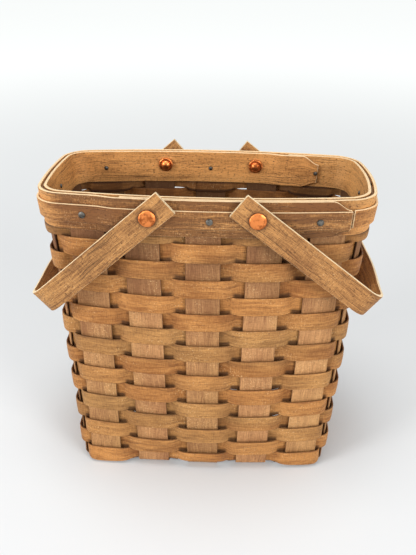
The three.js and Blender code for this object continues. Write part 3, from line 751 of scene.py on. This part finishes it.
def weaver_heights(row, low, high, across, distance, share, wobble):
    """Heights of a row's points. Over or behind a stake its edges spread towards the next
    rows. The left end sags, and the first row's lower edge dips to the ground along each wall
    and settles behind its stakes."""
    aside = np.clip(np.abs(share) - CLEAR_SHARE, 0, None)
    below = TOUCH + np.where(share > 0, OUTSIDE_SPREAD, INSIDE_SPREAD) * aside
    above = below if row < ROWS - 1 else TOUCH + OUTSIDE_SPREAD * aside
    centre, up = (high + low) / 2, across / (high - low) + 0.5
    z = centre + across + wobble[:, None]
    z = z + above[:, None] * up - below[:, None] * (1 - up)
    side_x = plan_point(distance, centre)[0]
    leftness = np.clip(-side_x / BASE_HALF_LENGTH, 0, 1)
    z -= (LEFT_SAG * leftness * math.exp(-low / SAG_RISE))[:, None]
    if row == 1:
        a, _, _, _, end_bulge, _ = plan(centre)
        dip = FIRST_ROW_DIP * (1 - (1 - np.abs(side_x) / (a + end_bulge)) ** 2)
        nearly_behind = smooth((0.1 - share) / 0.5) * smooth((share + 1.05) / 0.25)
        low_edge = dip + FIRST_ROW_SETTLE * nearly_behind
        z -= low_edge[:, None] * np.clip((1 - up) / 0.75, 0, 1)
    return z


def weaver_shade(z, up, depth, edge, share, from_stake):
    """Painted shade: behind the stakes, on the inner face, in the low edge's tuck, under the
    rim and along the edges."""
    behind = (share < 0) * np.clip((HALF_STAKE - 0.3 - from_stake) / 0.8, 0, 1)
    inner = depth < 0
    tucked = np.clip(-4 * share, 0, 1)[:, None] * np.clip((0.26 - up) / 0.1, 0, 1)
    # Painted shadow under the rim band's lower edge.
    under_rim = np.clip((z - band_bottom + 2) / 2, 0, 1)
    grime_and_shade = behind[:, None] * np.where(inner, 0.2, BEHIND_SHADE) + INNER_SHADE * inner
    grime_and_shade = grime_and_shade + TUCK_SHADE * tucked + UNDER_RIM_SHADE * under_rim
    # Painted shade in a thin line along each splint edge.
    grime_and_shade = grime_and_shade + EDGE_SHADE * (edge > 0.01)
    return np.clip(grime_and_shade, 0, MOST_SHADE)


print("first row from", row_top(0), "to", row_top(1), "mm")

# %% Weave the rows
WEAVER_CORNER, WEAVER_CROWN = 0.3, 0.25
SAMPLES_A_STAKE, LAP_MARGIN = 34, 1
WOBBLE, WOBBLE_WAVE = 0.06, 60
ROW_TONE, ROW_TONE_FALL, ROW_TONE_CHANCE = 0.52, 0.22, 0.14
ROW_WANDER, ROW_WAVE, OUTSIDE_HIGHLIGHT, ROW_SAWN = 0.1, 45, 0.12, 0.4


def weaver(row):
    """Ring of one row: its distance round the wall is blended between the stakes' middles,
    and its offset is the wave times the swing."""
    rng = chance(row)
    low = row_top(row - 1) + FIT_GAP / 2
    high = row_top(row) - FIT_GAP / 2
    width, centre = high - low, (high + low) / 2
    across, depth, edge, round_way = outline(width, WEAVER_THICKNESS, WEAVER_CORNER)
    lap, reach = lap_stake(row), HALF_STAKE - LAP_MARGIN
    start = stake_middle(lap, centre) - reach
    stop = stake_middle(lap + STAKES_ROUND, centre) + reach
    numbers = np.arange(lap - 2, lap + STAKES_ROUND + 3)
    middles = stake_middle(numbers, centre)
    first, last = np.interp([start[0], stop[0]], middles, numbers)
    count = np.linspace(first, last, int((last - first) * SAMPLES_A_STAKE))
    distance = np.interp(count, numbers, middles)
    share = (1.0 if row % 2 else -1.0) * wave(count)
    body, thick = weaver_skin(distance - start - 2 * reach, stop - distance - 2 * reach)
    wobble = WOBBLE * wander(rng, distance, WOBBLE_WAVE)
    z = weaver_heights(row, low, high, across, distance, share, wobble)
    crown = WEAVER_CROWN * (1 - (2 * across / width) ** 2)
    middle = (weaver_swing(share) + body)[:, None]
    offset = middle + depth * thick[:, None] + crown * share[:, None]
    m = np.floor(count).astype(int)
    before = stake_middle(m, centre + across)
    after = stake_middle(m + 1, centre + across)
    s = mix(before, after, (count - m)[:, None])
    grid = wall_point(s, run_from_height(z), offset)
    tone = ROW_TONE - ROW_TONE_FALL * row / ROWS
    tone += rng.uniform(-ROW_TONE_CHANCE, ROW_TONE_CHANCE)
    tone = tone + ROW_WANDER * wander(rng, distance, ROW_WAVE)
    # Painted highlight: the row is lighter where it bulges outside over a stake.
    tone = tone + OUTSIDE_HIGHLIGHT * np.clip(share, 0, 1) ** 2
    from_stake = np.abs(distance - stake_middle(np.round(count), centre))
    grime_and_shade = weaver_shade(z, across / width + 0.5, depth, edge, share, from_stake)
    names = f"weaver_splint_{row:02d}", f"weaver_{row:02d}", "weavers"
    looks = tone[:, None], ROW_SAWN * edge, grime_and_shade
    return make_splint(rng, *names, weaver_wood, grid, round_way, *looks)


weavers = [weaver(row) for row in range(1, ROWS + 1)]
print("weavers", len(weavers), "faces each", len(weavers[0].data.polygons))

# %% [markdown]
# ## The stakes
# A stake is one wide splint from rim to rim: down a wall, round the fold, under the base and up
# the other wall. In the base the eight stakes are woven flat, so each rises and sinks by half a
# thickness from crossing to crossing.


# %% Crossings in the base
def long_outside(k, j):
    """1 where long stake k lies under cross stake j, and -1 where it lies over it."""
    return -1 if (k + j) % 2 == 0 else 1


def crossings_at(numbers, pitch, sides):
    """Low edge, high edge and offset of a stake's crossings in the base."""
    return [
        (n * pitch - HALF_STAKE, n * pitch + HALF_STAKE, side * BASE_SWING)
        for n, side in zip(numbers, sides)
    ]


def base_heave(place, crossings):
    """Offset along the base: flat over each crossing and an S-curve from one to the next."""
    heave = np.full(place.shape, crossings[0][2], float)
    for (_, high, before), (low, _, after) in zip(crossings[:-1], crossings[1:]):
        heave += (after - before) * smooth((place - high) / (low - high))
    return heave


print("long stakes at the middle cross stake:", [long_outside(k, 0) for k in LONG_NUMBERS])

# %% Bend the stakes
STAKE_CORNER = 0.35
WALL_ROWS, FOLD_ROWS, BASE_ROWS = 60, 9, 80
STAKE_TONE, STAKE_TONE_CHANCE = 0.5, 0.2
STAKE_WANDER, STAKE_WAVE, TOP_DARKER, STAKE_SAWN = 0.12, 70, 0.25, 0.3
STAKE_GRIME, STAKE_TOP_SHADE, STAKE_INNER_SHADE = 0.05, 0.38, 0.3
SHADE_FROM, SHADE_RISE = 125, 65
ROW_LENGTH = 3.0
stake_top = run_from_height(RIM_HEIGHT - STAKE_BELOW_RIM)


def stake(kind, number, seed, middles, crossings, axis):
    """One stake: two walls and the base between them, as one grid of points. It runs along the
    given axis, and it is drawn in along it where it folds."""
    rng = chance(seed)
    across, depth, edge, round_way = outline(STAKE_WIDTH, STAKE_THICKNESS, STAKE_CORNER)
    wall_runs = np.linspace(stake_top, FOLD_ARC, WALL_ROWS)
    runs = np.concatenate([wall_runs, np.linspace(FOLD_ARC, 0, FOLD_ROWS)[1:]])
    z = np.where(runs > FOLD_ARC, runs - FOLD_ARC + FOLD_RADIUS + BASE_LIFT, 0.0)
    unfolding = (1 + np.cos(math.pi * np.minimum(runs / FOLD_ARC, 1))) / 2
    walls = []
    for end, outwards in ((0, -1.0), (-1, 1.0)):
        seated = crossings[end][2] * unfolding
        side = outwards if axis == 0 else -outwards
        pull = (outwards, 0.0) if axis == 0 else (0.0, outwards)
        s = stake_middle(middles[end], z)[0][:, None] + side * across
        walls.append(wall_point(s, runs[:, None], depth + seated[:, None], pull))
    start, stop = walls[0][-1], walls[1][-1]
    places = np.linspace(start[:, axis].mean(), stop[:, axis].mean(), BASE_ROWS)[1:-1]
    share = (places - places[0]) / (places[-1] - places[0])
    base = mix(start[None], stop[None], share[:, None, None])
    base[:, :, axis] = places[:, None]
    straight = places + skew(start[:, 0].mean(), 0.0) if axis == 1 else places
    base[:, :, 2] = BASE_LIFT - depth - base_heave(straight, crossings)[:, None]
    grid = np.concatenate([walls[0], base, walls[1][::-1]])
    length = np.arange(len(grid)) * ROW_LENGTH
    tone = STAKE_TONE + rng.uniform(-STAKE_TONE_CHANCE, STAKE_TONE_CHANCE)
    tone = tone + STAKE_WANDER * wander(rng, length, STAKE_WAVE)
    # Painted shade: towards the rim the stake's tone drops and its dark brown rises, and its inner
    # face is darker. STAKE_GRIME adds a little even grime.
    top_shade = np.clip((grid[:, :1, 2] - SHADE_FROM) / SHADE_RISE, 0, 1)
    grime_and_shade = STAKE_GRIME + STAKE_TOP_SHADE * top_shade + STAKE_INNER_SHADE * (depth < 0)
    # Painted shade in a thin line along each splint edge.
    grime_and_shade = grime_and_shade + EDGE_SHADE * (edge > 0.01)
    names = f"{kind}_stake_{number}", f"stake_{kind}_{number}", "stakes"
    looks = tone[:, None] - TOP_DARKER * top_shade, STAKE_SAWN * edge, grime_and_shade
    return make_splint(rng, *names, stake_wood, grid, round_way, *looks)


stakes = []
for k in LONG_NUMBERS:
    sides = [long_outside(k, j) for j in CROSS_NUMBERS]
    crossings = crossings_at(CROSS_NUMBERS, CROSS_PITCH_BASE, sides)
    ends = (k + STAKES_ROUND) % STAKES_ROUND, STAKES_ROUND // 2 - k
    stakes.append(stake("long", k + 3, k + 103, ends, crossings, 1))
for j in CROSS_NUMBERS:
    sides = [-long_outside(k, j) for k in LONG_NUMBERS]
    crossings = crossings_at(LONG_NUMBERS, LONG_PITCH_BASE, sides)
    stakes.append(stake("cross", j + 2, j + 112, (12 - j, 4 + j), crossings, 0))
print("stakes", len(stakes), "faces each", len(stakes[0].data.polygons))

# %% [markdown]
# ## The rim
# Two thick bands clamp the stakes' tops, one inside and one outside, and a narrow trim strip
# lies on the outer one. Each band is longer than the way round and laps over its own start,
# stepping out by its own thickness. The lap's end has its corners clipped.

# %% Where bands and trim lie
quarter_rim = plan(RIM_HEIGHT - BAND_HEIGHT / 2)[-1]
band_face = STAKE_THICKNESS / 2 + FIT_GAP
lap_step = BAND_THICKNESS + FIT_GAP
outer_to = 4 * quarter_rim + OUTER_LAP_END
outer_lap_start = 4 * quarter_rim + OUTER_LAP_FROM - LAP_CLEARANCE
inner_start = 2 * quarter_rim - INNER_LAP_FROM
inner_end = -2 * quarter_rim - INNER_LAP_END
inner_lap_start = -2 * quarter_rim - INNER_LAP_FROM + LAP_CLEARANCE


def outer_offset(s):
    """Inner face of the outer band: the stakes' face, then a step up onto its own start."""
    return band_face + lap_step * smooth((s - outer_lap_start + LAP_RAMP) / LAP_RAMP)


def inner_offset(s):
    """Inner face of the inner band, which steps in at its lap."""
    step = lap_step * smooth((inner_lap_start + LAP_RAMP - s) / LAP_RAMP)
    return -band_face - BAND_THICKNESS - step


def trim_offset(s):
    """Inner face of the trim: the outer band's outer face."""
    return outer_offset(s) + BAND_THICKNESS + FIT_GAP


print("bands step by", lap_step, "mm at a lap")

# %% Bands and trim
BAND_CORNER, BAND_END = 0.4, 0.72
BAND_ROWS, LOW_CLIP_SHARE = 480, 0.6
FRONT_TO, FRONT_FADE = 105, 25
BAND_WANDER, BAND_WAVE, BAND_GRIME = 0.12, 90, 0.04
OUTER_TONES, INNER_TONES, TRIM_TONES = (0.0, 1.45), (0.45, 0.8), (0.0, 0.75)


def clip_end(s, end, length):
    """How much of the low and the high corner is cut away near a lap's end."""
    t = smooth((length - np.abs(end - s)) / length)
    return t * LAP_CORNER_CUT * LOW_CLIP_SHARE, t * LAP_CORNER_CUT


def rim_strip(names, seed, span, heights, thickness, offset, tones, clip=None):
    """A strip round the rim over its span, with its own inner face offset. The two tones are
    those of the front and of the rest."""
    rng = chance(seed)
    (start, stop), (low, high) = span, heights
    across, depth, edge, round_way = outline(high - low, thickness, BAND_CORNER)
    inner_part = np.linspace(start + EDGE_RUN, stop - EDGE_RUN, BAND_ROWS)
    s = np.concatenate([start + EDGE_RUNS, inner_part, stop - EDGE_RUNS[::-1]])
    down, above = clip_end(s, clip, 2 * LAP_CORNER_CUT) if clip else (0 * s, 0 * s)
    share = across / (high - low) + 0.5
    z = mix((low + down)[:, None], (high - above)[:, None], share)
    depth_share, sawn = strip_ends(len(s), BAND_END)
    o = offset(s)[:, None] + thickness / 2 + depth * depth_share
    scaled = s[:, None] * plan(z)[-1] / quarter_rim
    grid = wall_point(scaled, run_from_height(z), o)
    from_front = np.abs((s + 2 * quarter_rim) % (4 * quarter_rim) - 2 * quarter_rim)
    front = smooth((FRONT_TO - from_front) / FRONT_FADE)
    tone = mix(tones[1], tones[0], front) + BAND_WANDER * wander(rng, s, BAND_WAVE)
    looks = tone[:, None], np.maximum(edge, sawn), BAND_GRIME
    return make_splint(rng, *names, "rim_wood", band_wood, grid, round_way, *looks)


names, span = ("outer_rim_band", "rim_band_outer"), (OUTER_LAP_FROM, outer_to)
section = (band_bottom, RIM_HEIGHT), BAND_THICKNESS
outer_band = rim_strip(names, 201, span, *section, outer_offset, OUTER_TONES, outer_to)
names, span = ("inner_rim_band", "rim_band_inner"), (inner_end, inner_start)
inner_band = rim_strip(names, 202, span, *section, inner_offset, INNER_TONES, inner_end)
trim_low = band_bottom + TRIM_ABOVE_BAND_BOTTOM
trim_from = OUTER_LAP_END + TRIM_BUTT_GAP
names, span = ("rim_trim_strip", "rim_trim"), (trim_from, outer_to)
section = (trim_low, trim_low + TRIM_HEIGHT), TRIM_THICKNESS
trim_strip = rim_strip(names, 203, span, *section, trim_offset, TRIM_TONES)
print("rim pieces", [p.name for p in (outer_band, inner_band, trim_strip)])

# %% [markdown]
# ## The handles
# Each handle is a strip steamed and bent into a U, riveted through the rim at both ends. It
# lies in a plane, so its path is drawn there and then tipped about the rivets: two straight
# arms, a quarter circle at each corner and a grip that bows out a little.

# %% Path of a handle
ARM_ROWS, BEND_ROWS, GRIP_ROWS = 46, 15, 16
trim_face = band_face + BAND_THICKNESS + FIT_GAP + TRIM_THICKNESS
trim_top = run_from_height(trim_low + TRIM_HEIGHT)
trim_depth = -wall_point(0.0, trim_top, trim_face)[1] + HANDLE_SIDE_GAP
arm_inner = {"front": trim_depth + lap_step, "back": trim_depth}
half_spread = (arm_inner["front"] + arm_inner["back"] + HANDLE_THICKNESS) / 2
spread_middle = (arm_inner["back"] - arm_inner["front"]) / 2


def handle_path():
    """Half of the U, from the tail to the middle of the grip, and its mirror image: straight,
    a quarter circle, then a half cosine wave that bows the grip."""
    bend_start = HANDLE_REACH - HANDLE_BEND
    flat = half_spread - HANDLE_BEND
    straight = np.linspace(-HANDLE_TAIL + EDGE_RUN, bend_start, ARM_ROWS)
    arm = np.concatenate([-HANDLE_TAIL + EDGE_RUNS, straight])
    turn = np.linspace(0, math.pi / 2, BEND_ROWS)[1:]
    share = np.linspace(-1, 0, GRIP_ROWS)[1:]
    bow = HANDLE_BOW * (1 + np.cos(math.pi * share)) / 2
    x = np.concatenate([arm, bend_start + HANDLE_BEND * np.sin(turn), HANDLE_REACH + bow])
    y = np.concatenate(
        [0 * arm - half_spread, -flat - HANDLE_BEND * np.cos(turn), share * flat]
    )
    return np.concatenate([x, x[-2::-1]]), np.concatenate([y, -y[-2::-1]])


print("path points", len(handle_path()[0]), "spread", round(2 * half_spread, 1), "mm")

# %% Bend the handles
HANDLE_CORNER, HANDLE_END = 0.35, 0.75
HANDLE_TONE, HANDLE_WANDER, HANDLE_WAVE, HANDLE_GRIME = 0.55, 0.16, 80, 0.03
RIVET_SHADOW, RIVET_SHADOW_WIDTH, FAR_AWAY = 0.75, 2.4, 99.0


def handle(side, sign, drop, seed):
    """A strip of the handle's width along the path, tipped down by the drop angle. Painted
    shadow rings the rivets."""
    rng = chance(seed)
    across, depth, edge, round_way = outline(HANDLE_WIDTH, HANDLE_THICKNESS, HANDLE_CORNER)
    x, y = handle_path()
    dx, dy = np.gradient(x), np.gradient(y)
    length = np.hypot(dx, dy)
    depth_share, sawn = strip_ends(len(x), HANDLE_END)
    d = depth * depth_share
    in_x = x[:, None] + d * (dy / length)[:, None]
    in_y = y[:, None] + d * (-dx / length)[:, None] + spread_middle
    along = np.array([sign * math.cos(drop), 0, -math.sin(drop)])
    wide = np.array([sign * math.sin(drop), 0, math.cos(drop)])
    pivot = np.array([sign * PIVOT_HALF_SPAN, 0, PIVOT_HEIGHT])
    grid = pivot + in_x[..., None] * along + across[None, :, None] * wide
    grid[..., 1] = in_y
    tone = HANDLE_TONE + HANDLE_WANDER * wander(rng, np.cumsum(length), HANDLE_WAVE)
    on_arm = np.where(np.abs(y) > half_spread - 1, x, FAR_AWAY)
    from_rivet = np.hypot(on_arm[:, None], across)
    # A ring of painted shadow round each rivet head.
    rivet_shadow = RIVET_SHADOW * np.clip(1 - (from_rivet - RIVET_HEAD_R) / RIVET_SHADOW_WIDTH, 0, 1)
    names = f"bent_handle_{side}", f"handle_{side}", "handle_wood"
    looks = tone[:, None], np.maximum(edge, sawn), HANDLE_GRIME + rivet_shadow
    return make_splint(rng, *names, handle_wood, grid, round_way, *looks)


handles = [handle("left", -1, LEFT_DROP, 301), handle("right", 1, RIGHT_DROP, 302)]
print("handles", [h.name for h in handles])

# %% [markdown]
# ## Copper and steel
# The rivets were hammered over by hand, so their heads are not smooth: dents catch the light.
# The tack heads are dark steel. Both are metals whose colour varies a little with tarnish.


# %% Metals
def metal(name, bright, dull, roughness, dent_scale, dent_depth, tarnish):
    """Hammered metal: two tones by tarnish, and dents from smooth cells and noise."""
    make = Maker(bpy.data.materials.new(name))
    place = make.node("TexCoord").output("Object")
    inputs = {"Vector": place, "Scale": dent_scale}
    dents = make.node("TexVoronoi", inputs, feature="SMOOTH_F1")
    inputs = {"Vector": place, "Scale": dent_scale * 0.6, "Detail": 4.0, "Roughness": 0.6}
    stain = make.node("TexNoise", inputs)
    mask = make.between(stain, 0.42, 0.68) * tarnish
    surface = make.blend(mask, colour(*bright), colour(*dull))
    bump = make.bump(dents + 0.35 * stain, 0.6, dent_depth)
    rough = roughness + 0.2 * (stain - 0.5)
    return make.finish(Base_Color=surface, Metallic=1.0, Roughness=rough, Normal=bump)


copper = metal(
    "hammered copper",
    bright=(230, 138, 76),
    dull=(132, 62, 26),
    roughness=0.4,
    dent_scale=420.0,
    dent_depth=0.0006,
    tarnish=0.85,
)
steel = metal(
    "tack steel",
    bright=(108, 104, 98),
    dull=(36, 33, 30),
    roughness=0.5,
    dent_scale=900.0,
    dent_depth=0.0002,
    tarnish=0.9,
)
print("metals:", copper.name, steel.name)

# %% [markdown]
# ## Turned pieces
# Rivets, their washers and tacks are round, so a profile is carried round an axis. Spin would
# do it too, but a grid of radius times cosine and sine gives the same faces without an operator.

# %% Lathe
BACKWARDS = [0, 3, 2, 1]


def turned(node, kind, profile, point, outward, sides):
    """Surface of revolution: each profile point (radius, distance outwards) goes round the
    axis. A profile from axis to axis closes with fans, another one on itself. Taken backwards,
    the cells face outwards. The kind is the metal's name, a slot that is not used, and the
    material."""
    profile = np.array(profile, float)
    closed = profile[0, 0] > 1e-9
    first = np.cross([0.0, 0.0, 1.0], outward)
    first /= np.linalg.norm(first)
    second = np.cross(outward, first)
    angle = np.linspace(0, 2 * math.pi, sides, endpoint=False)
    spoke = np.cos(angle)[:, None] * first + np.sin(angle)[:, None] * second
    inner = profile if closed else profile[1:-1]
    rings = point + inner[:, None, :1] * spoke + inner[:, None, 1:] * outward
    points = rings.reshape(-1, 3)
    faces = grid_faces(len(inner) + closed, sides)[:, BACKWARDS] % len(points)
    faces = faces.tolist()
    if not closed:
        ring = np.arange(sides)
        after, last = (ring + 1) % sides, len(points) - sides
        start, stop = np.full(sides, len(points)), np.full(sides, len(points) + 1)
        points = np.concatenate([points, point + profile[[0, -1], 1:] * outward])
        faces += np.stack([start, after, ring], 1).tolist()
        faces += np.stack([stop, last + ring, last + after], 1).tolist()
    metal_name, slot, material = kind
    dress(new_mesh(f"{metal_name}_{node}", points, faces), node, material)


# %% [markdown]
# ## Rivets, washers and tacks
# A rivet goes through handle, trim, bands and stake. Outside it shows a low hammered head,
# inside a peened dome on a small washer. The tacks hold trim and bands to every other stake.

# %% Domes
COPPER, STEEL = ("copper", "copper", copper), ("steel", "tack_steel", steel)
RIVET_SIDES, TACK_SIDES = 48, 24
PEEN_SHAPE, RIVET_SHAPE, TACK_SHAPE = (12, 2.2), (14, 2.6), (9, 2.3)
RIVET_SHOULDER, TACK_SHOULDER = 0.5, 0.15
BURR_ROUND, BEVEL = 0.5, 0.2
TACK_HEIGHT = RIM_HEIGHT - TACK_BELOW_RIM
pivot_run, tack_run = run_from_height(PIVOT_HEIGHT), run_from_height(TACK_HEIGHT)
inside_band = band_face + BAND_THICKNESS + FIT_GAP


def dome(radius, rise, low, steps, power):
    """Profile of a dome from its rim to its top: height grows as 1 minus radius share to a
    power, so a high power gives a flat head with a round shoulder."""
    share = np.cos(np.linspace(0, math.pi / 2, steps))
    return [(radius * r, low + rise * (1 - r**power) ** 0.5) for r in share]


print("points of a rivet's dome:", len(dome(RIVET_HEAD_R, 1.0, 0.0, *RIVET_SHAPE)))


# %% Rivets and washers
def rivet_and_burr(side, sign, face, facing):
    """A rivet from the hammered head outside to the peened dome inside, and its washer."""
    s = sign * PIVOT_HALF_SPAN
    s = s if facing < 0 else 2 * plan(PIVOT_HEIGHT)[-1] - s
    wall = wall_point(s, pivot_run, 0.0)
    point = np.array([sign * PIVOT_HALF_SPAN, wall[1], PIVOT_HEIGHT])
    outward = np.array([0.0, facing, 0.0])
    outside = arm_inner[face] + HANDLE_THICKNESS + FIT_GAP - abs(point[1])
    inside = inside_band + BURR_SLANT_ROOM
    burr_inside = inside + BURR_THICKNESS
    peen = burr_inside + FIT_GAP
    rise = RIVET_HEAD_RISE - RIVET_SHOULDER
    profile = [(r, -peen - h) for r, h in dome(PEEN_R, PEEN_RISE, 0.0, *PEEN_SHAPE)[::-1]]
    profile += [(RIVET_SHANK_R, -peen), (RIVET_SHANK_R, outside)]
    profile += [(RIVET_HEAD_R - BEVEL, outside)]
    profile += [(RIVET_HEAD_R, outside + RIVET_SHOULDER / 2)]
    profile += dome(RIVET_HEAD_R, rise, outside + RIVET_SHOULDER, *RIVET_SHAPE)
    turned(f"rivet_{face}_{side}", COPPER, profile, point, outward, RIVET_SIDES)
    hole = RIVET_SHANK_R + FIT_GAP
    ring = [
        (hole, -burr_inside),
        (BURR_R - BURR_ROUND, -burr_inside),
        (BURR_R - 0.3 * BURR_ROUND, 0.3 * BURR_ROUND - burr_inside),
        (BURR_R, BURR_ROUND - burr_inside),
        (BURR_R, -inside - BEVEL),
        (BURR_R - BEVEL, -inside),
        (hole, -inside),
    ]
    turned(f"burr_{face}_{side}", COPPER, ring, point, outward, RIVET_SIDES)


for side, sign in (("left", -1), ("right", 1)):
    for face, facing in (("front", -1), ("back", 1)):
        rivet_and_burr(side, sign, face, facing)
print("rivets 4, washers 4")


# %% Tacks
def tack(number, shift, name):
    """A tack at a stake's middle or beside it, from its head on the trim to its inner point."""
    s = float(stake_middle(number, TACK_HEIGHT)[0]) + shift
    point = wall_point(s, tack_run, 0.0)
    outward = wall_point(s, tack_run, 1.0) - point
    outward /= np.linalg.norm(outward)
    here = s * quarter_rim / plan(TACK_HEIGHT)[-1]
    on_trim = here + 4 * quarter_rim if here < trim_from else here
    under = max(trim_offset(on_trim - TACK_HEAD_R), trim_offset(on_trim + TACK_HEAD_R))
    outside = under + TRIM_THICKNESS + FIT_GAP
    inside = inside_band + (lap_step if name == "back_right" else 0)
    profile = [
        (0.0, -inside - TACK_TIP),
        (TACK_SHANK_R * 1.2, -inside - TACK_TIP * 0.9),
        (TACK_SHANK_R * 1.9, -inside - 0.1),
        (TACK_SHANK_R * 1.8, -inside),
        (TACK_SHANK_R, -inside),
        (TACK_SHANK_R, outside),
        (TACK_HEAD_R - 0.1, outside),
    ]
    rise = TACK_HEAD_RISE - TACK_SHOULDER
    profile += dome(TACK_HEAD_R, rise, outside + TACK_SHOULDER, *TACK_SHAPE)
    turned(f"tack_{name}", STEEL, profile, point, outward, TACK_SIDES)


tack_places = [
    (0, 4.0, "front_middle"),
    (2, -7.5, "front_right"),
    (4, 0.0, "side_right"),
    (6, 0.0, "back_right"),
    (8, 0.0, "back_middle"),
    (10, 0.0, "back_left"),
    (12, 0.0, "side_left"),
    (14, -0.8, "front_left"),
]
for place in tack_places:
    tack(*place)
print("tacks", len(tack_places))

# %% [markdown]
# ## Floor, light and background
# The basket stands in a plain white studio. The whiteness of the surroundings is a colour, not
# extra light: rays that come straight from the camera see a little glow on the floor and a
# white world, while the basket itself is lit at a plain level, so its colours stay true.


# %% Floor
FLOOR_HALF = 12.0
CORNERS = [(-1, -1), (1, -1), (1, 1), (-1, 1)]
FLOOR_GREY = (0.66, 0.672, 0.68, 1)
SHADOWED_GLOW, GLOW_NEAR, GLOW_FAR = (0.02,) * 3, (0.135, 0.145, 0.15), (0.66, 0.68, 0.67)


def studio_floor():
    """A wide pale plane whose shadow stays: diffuse light plus a glow that only the camera
    and the rays of reflections see. The glow fades towards the basket and nearly goes out
    round its foot, a painted shadow."""
    mesh = bpy.data.meshes.new("studio_floor")
    corners = [(x * FLOOR_HALF, y * FLOOR_HALF, 0) for x, y in CORNERS]
    mesh.from_pydata(corners, [], [(0, 1, 2, 3)])
    floor = add_object("studio_floor", mesh)
    make = Maker(bpy.data.materials.new("pale studio floor"))
    diffuse = make.node("BsdfDiffuse", {"Color": FLOOR_GREY})
    place = make.node("TexCoord").output("Object")
    length = make.node("VectorMath", {0: place}, 1, operation="LENGTH")
    # Painted shadow: between 5 and 15 cm from the middle, the glow drops to almost nothing round
    # the basket's foot.
    near = make.between(length, 0.05, 0.15), (*SHADOWED_GLOW, 1), (*GLOW_NEAR, 1)
    shade = make.blend(make.between(length, 0.1, 2.0), make.blend(*near), (*GLOW_FAR, 1))
    glow = make.node("Emission", {"Color": shade, "Strength": 1.0})
    rays = make.node("LightPath")
    seen = rays + rays.output("Is Glossy Ray") + rays.output("Is Transmission Ray")
    both = make.node("AddShader", {0: diffuse, 1: glow})
    shader = make.node("MixShader", {0: seen.clamp(), 1: diffuse, 2: both})
    make.node("OutputMaterial", {"Surface": shader})
    mesh.materials.append(make.owner)


studio_floor()
print("floor", 2 * FLOOR_HALF, "m wide")


# %% World and lamps
SEEN_WHITE, LIT_WHITE = (0.94, 0.96, 0.96, 1), (1.0, 0.99, 0.98, 1)
LAMP_TARGET = np.array([0, 0, 0.11])


def white_world(seen_strength, lit_strength):
    """White where the camera or a reflection looks, and a softer light for everything else."""
    world = bpy.data.worlds.new("white studio")
    bpy.context.scene.world = world
    make = Maker(world)
    rays = make.node("LightPath")
    seen = (rays + rays.output("Is Glossy Ray")).clamp()
    bright = make.node("Background", {"Color": SEEN_WHITE, "Strength": seen_strength})
    soft = make.node("Background", {"Color": LIT_WHITE, "Strength": lit_strength})
    both = make.node("MixShader", {0: seen, 1: soft, 2: bright})
    make.node("OutputWorld", {"Surface": both})


def soft_box(name, place, size, watts):
    """A square lamp that looks at the middle of the basket."""
    data = bpy.data.lights.new(name, "AREA")
    data.shape, data.size, data.energy = "SQUARE", size, watts
    back = np.array(place) - LAMP_TARGET
    back /= np.linalg.norm(back)
    side = np.cross([0, 0, 1.0], back)
    side /= np.linalg.norm(side)
    aim(add_object(name, data), side, np.cross(back, side), back, place)


white_world(1.0, 0.43)
soft_box("left_soft_box", (-1.2, -0.85, 0.62), 0.5, 13.0)
soft_box("right_soft_box", (1.05, -1.05, 0.6), 0.6, 12.5)
soft_box("top_soft_box", (-0.1, -0.2, 1.5), 0.7, 9.0)
bpy.context.scene.view_settings.view_transform = "Standard"

# %% [markdown]
# ## Finish
# The finer pieces must keep the CAD model's size. This last cell only imports json.

# %% Finish
import json
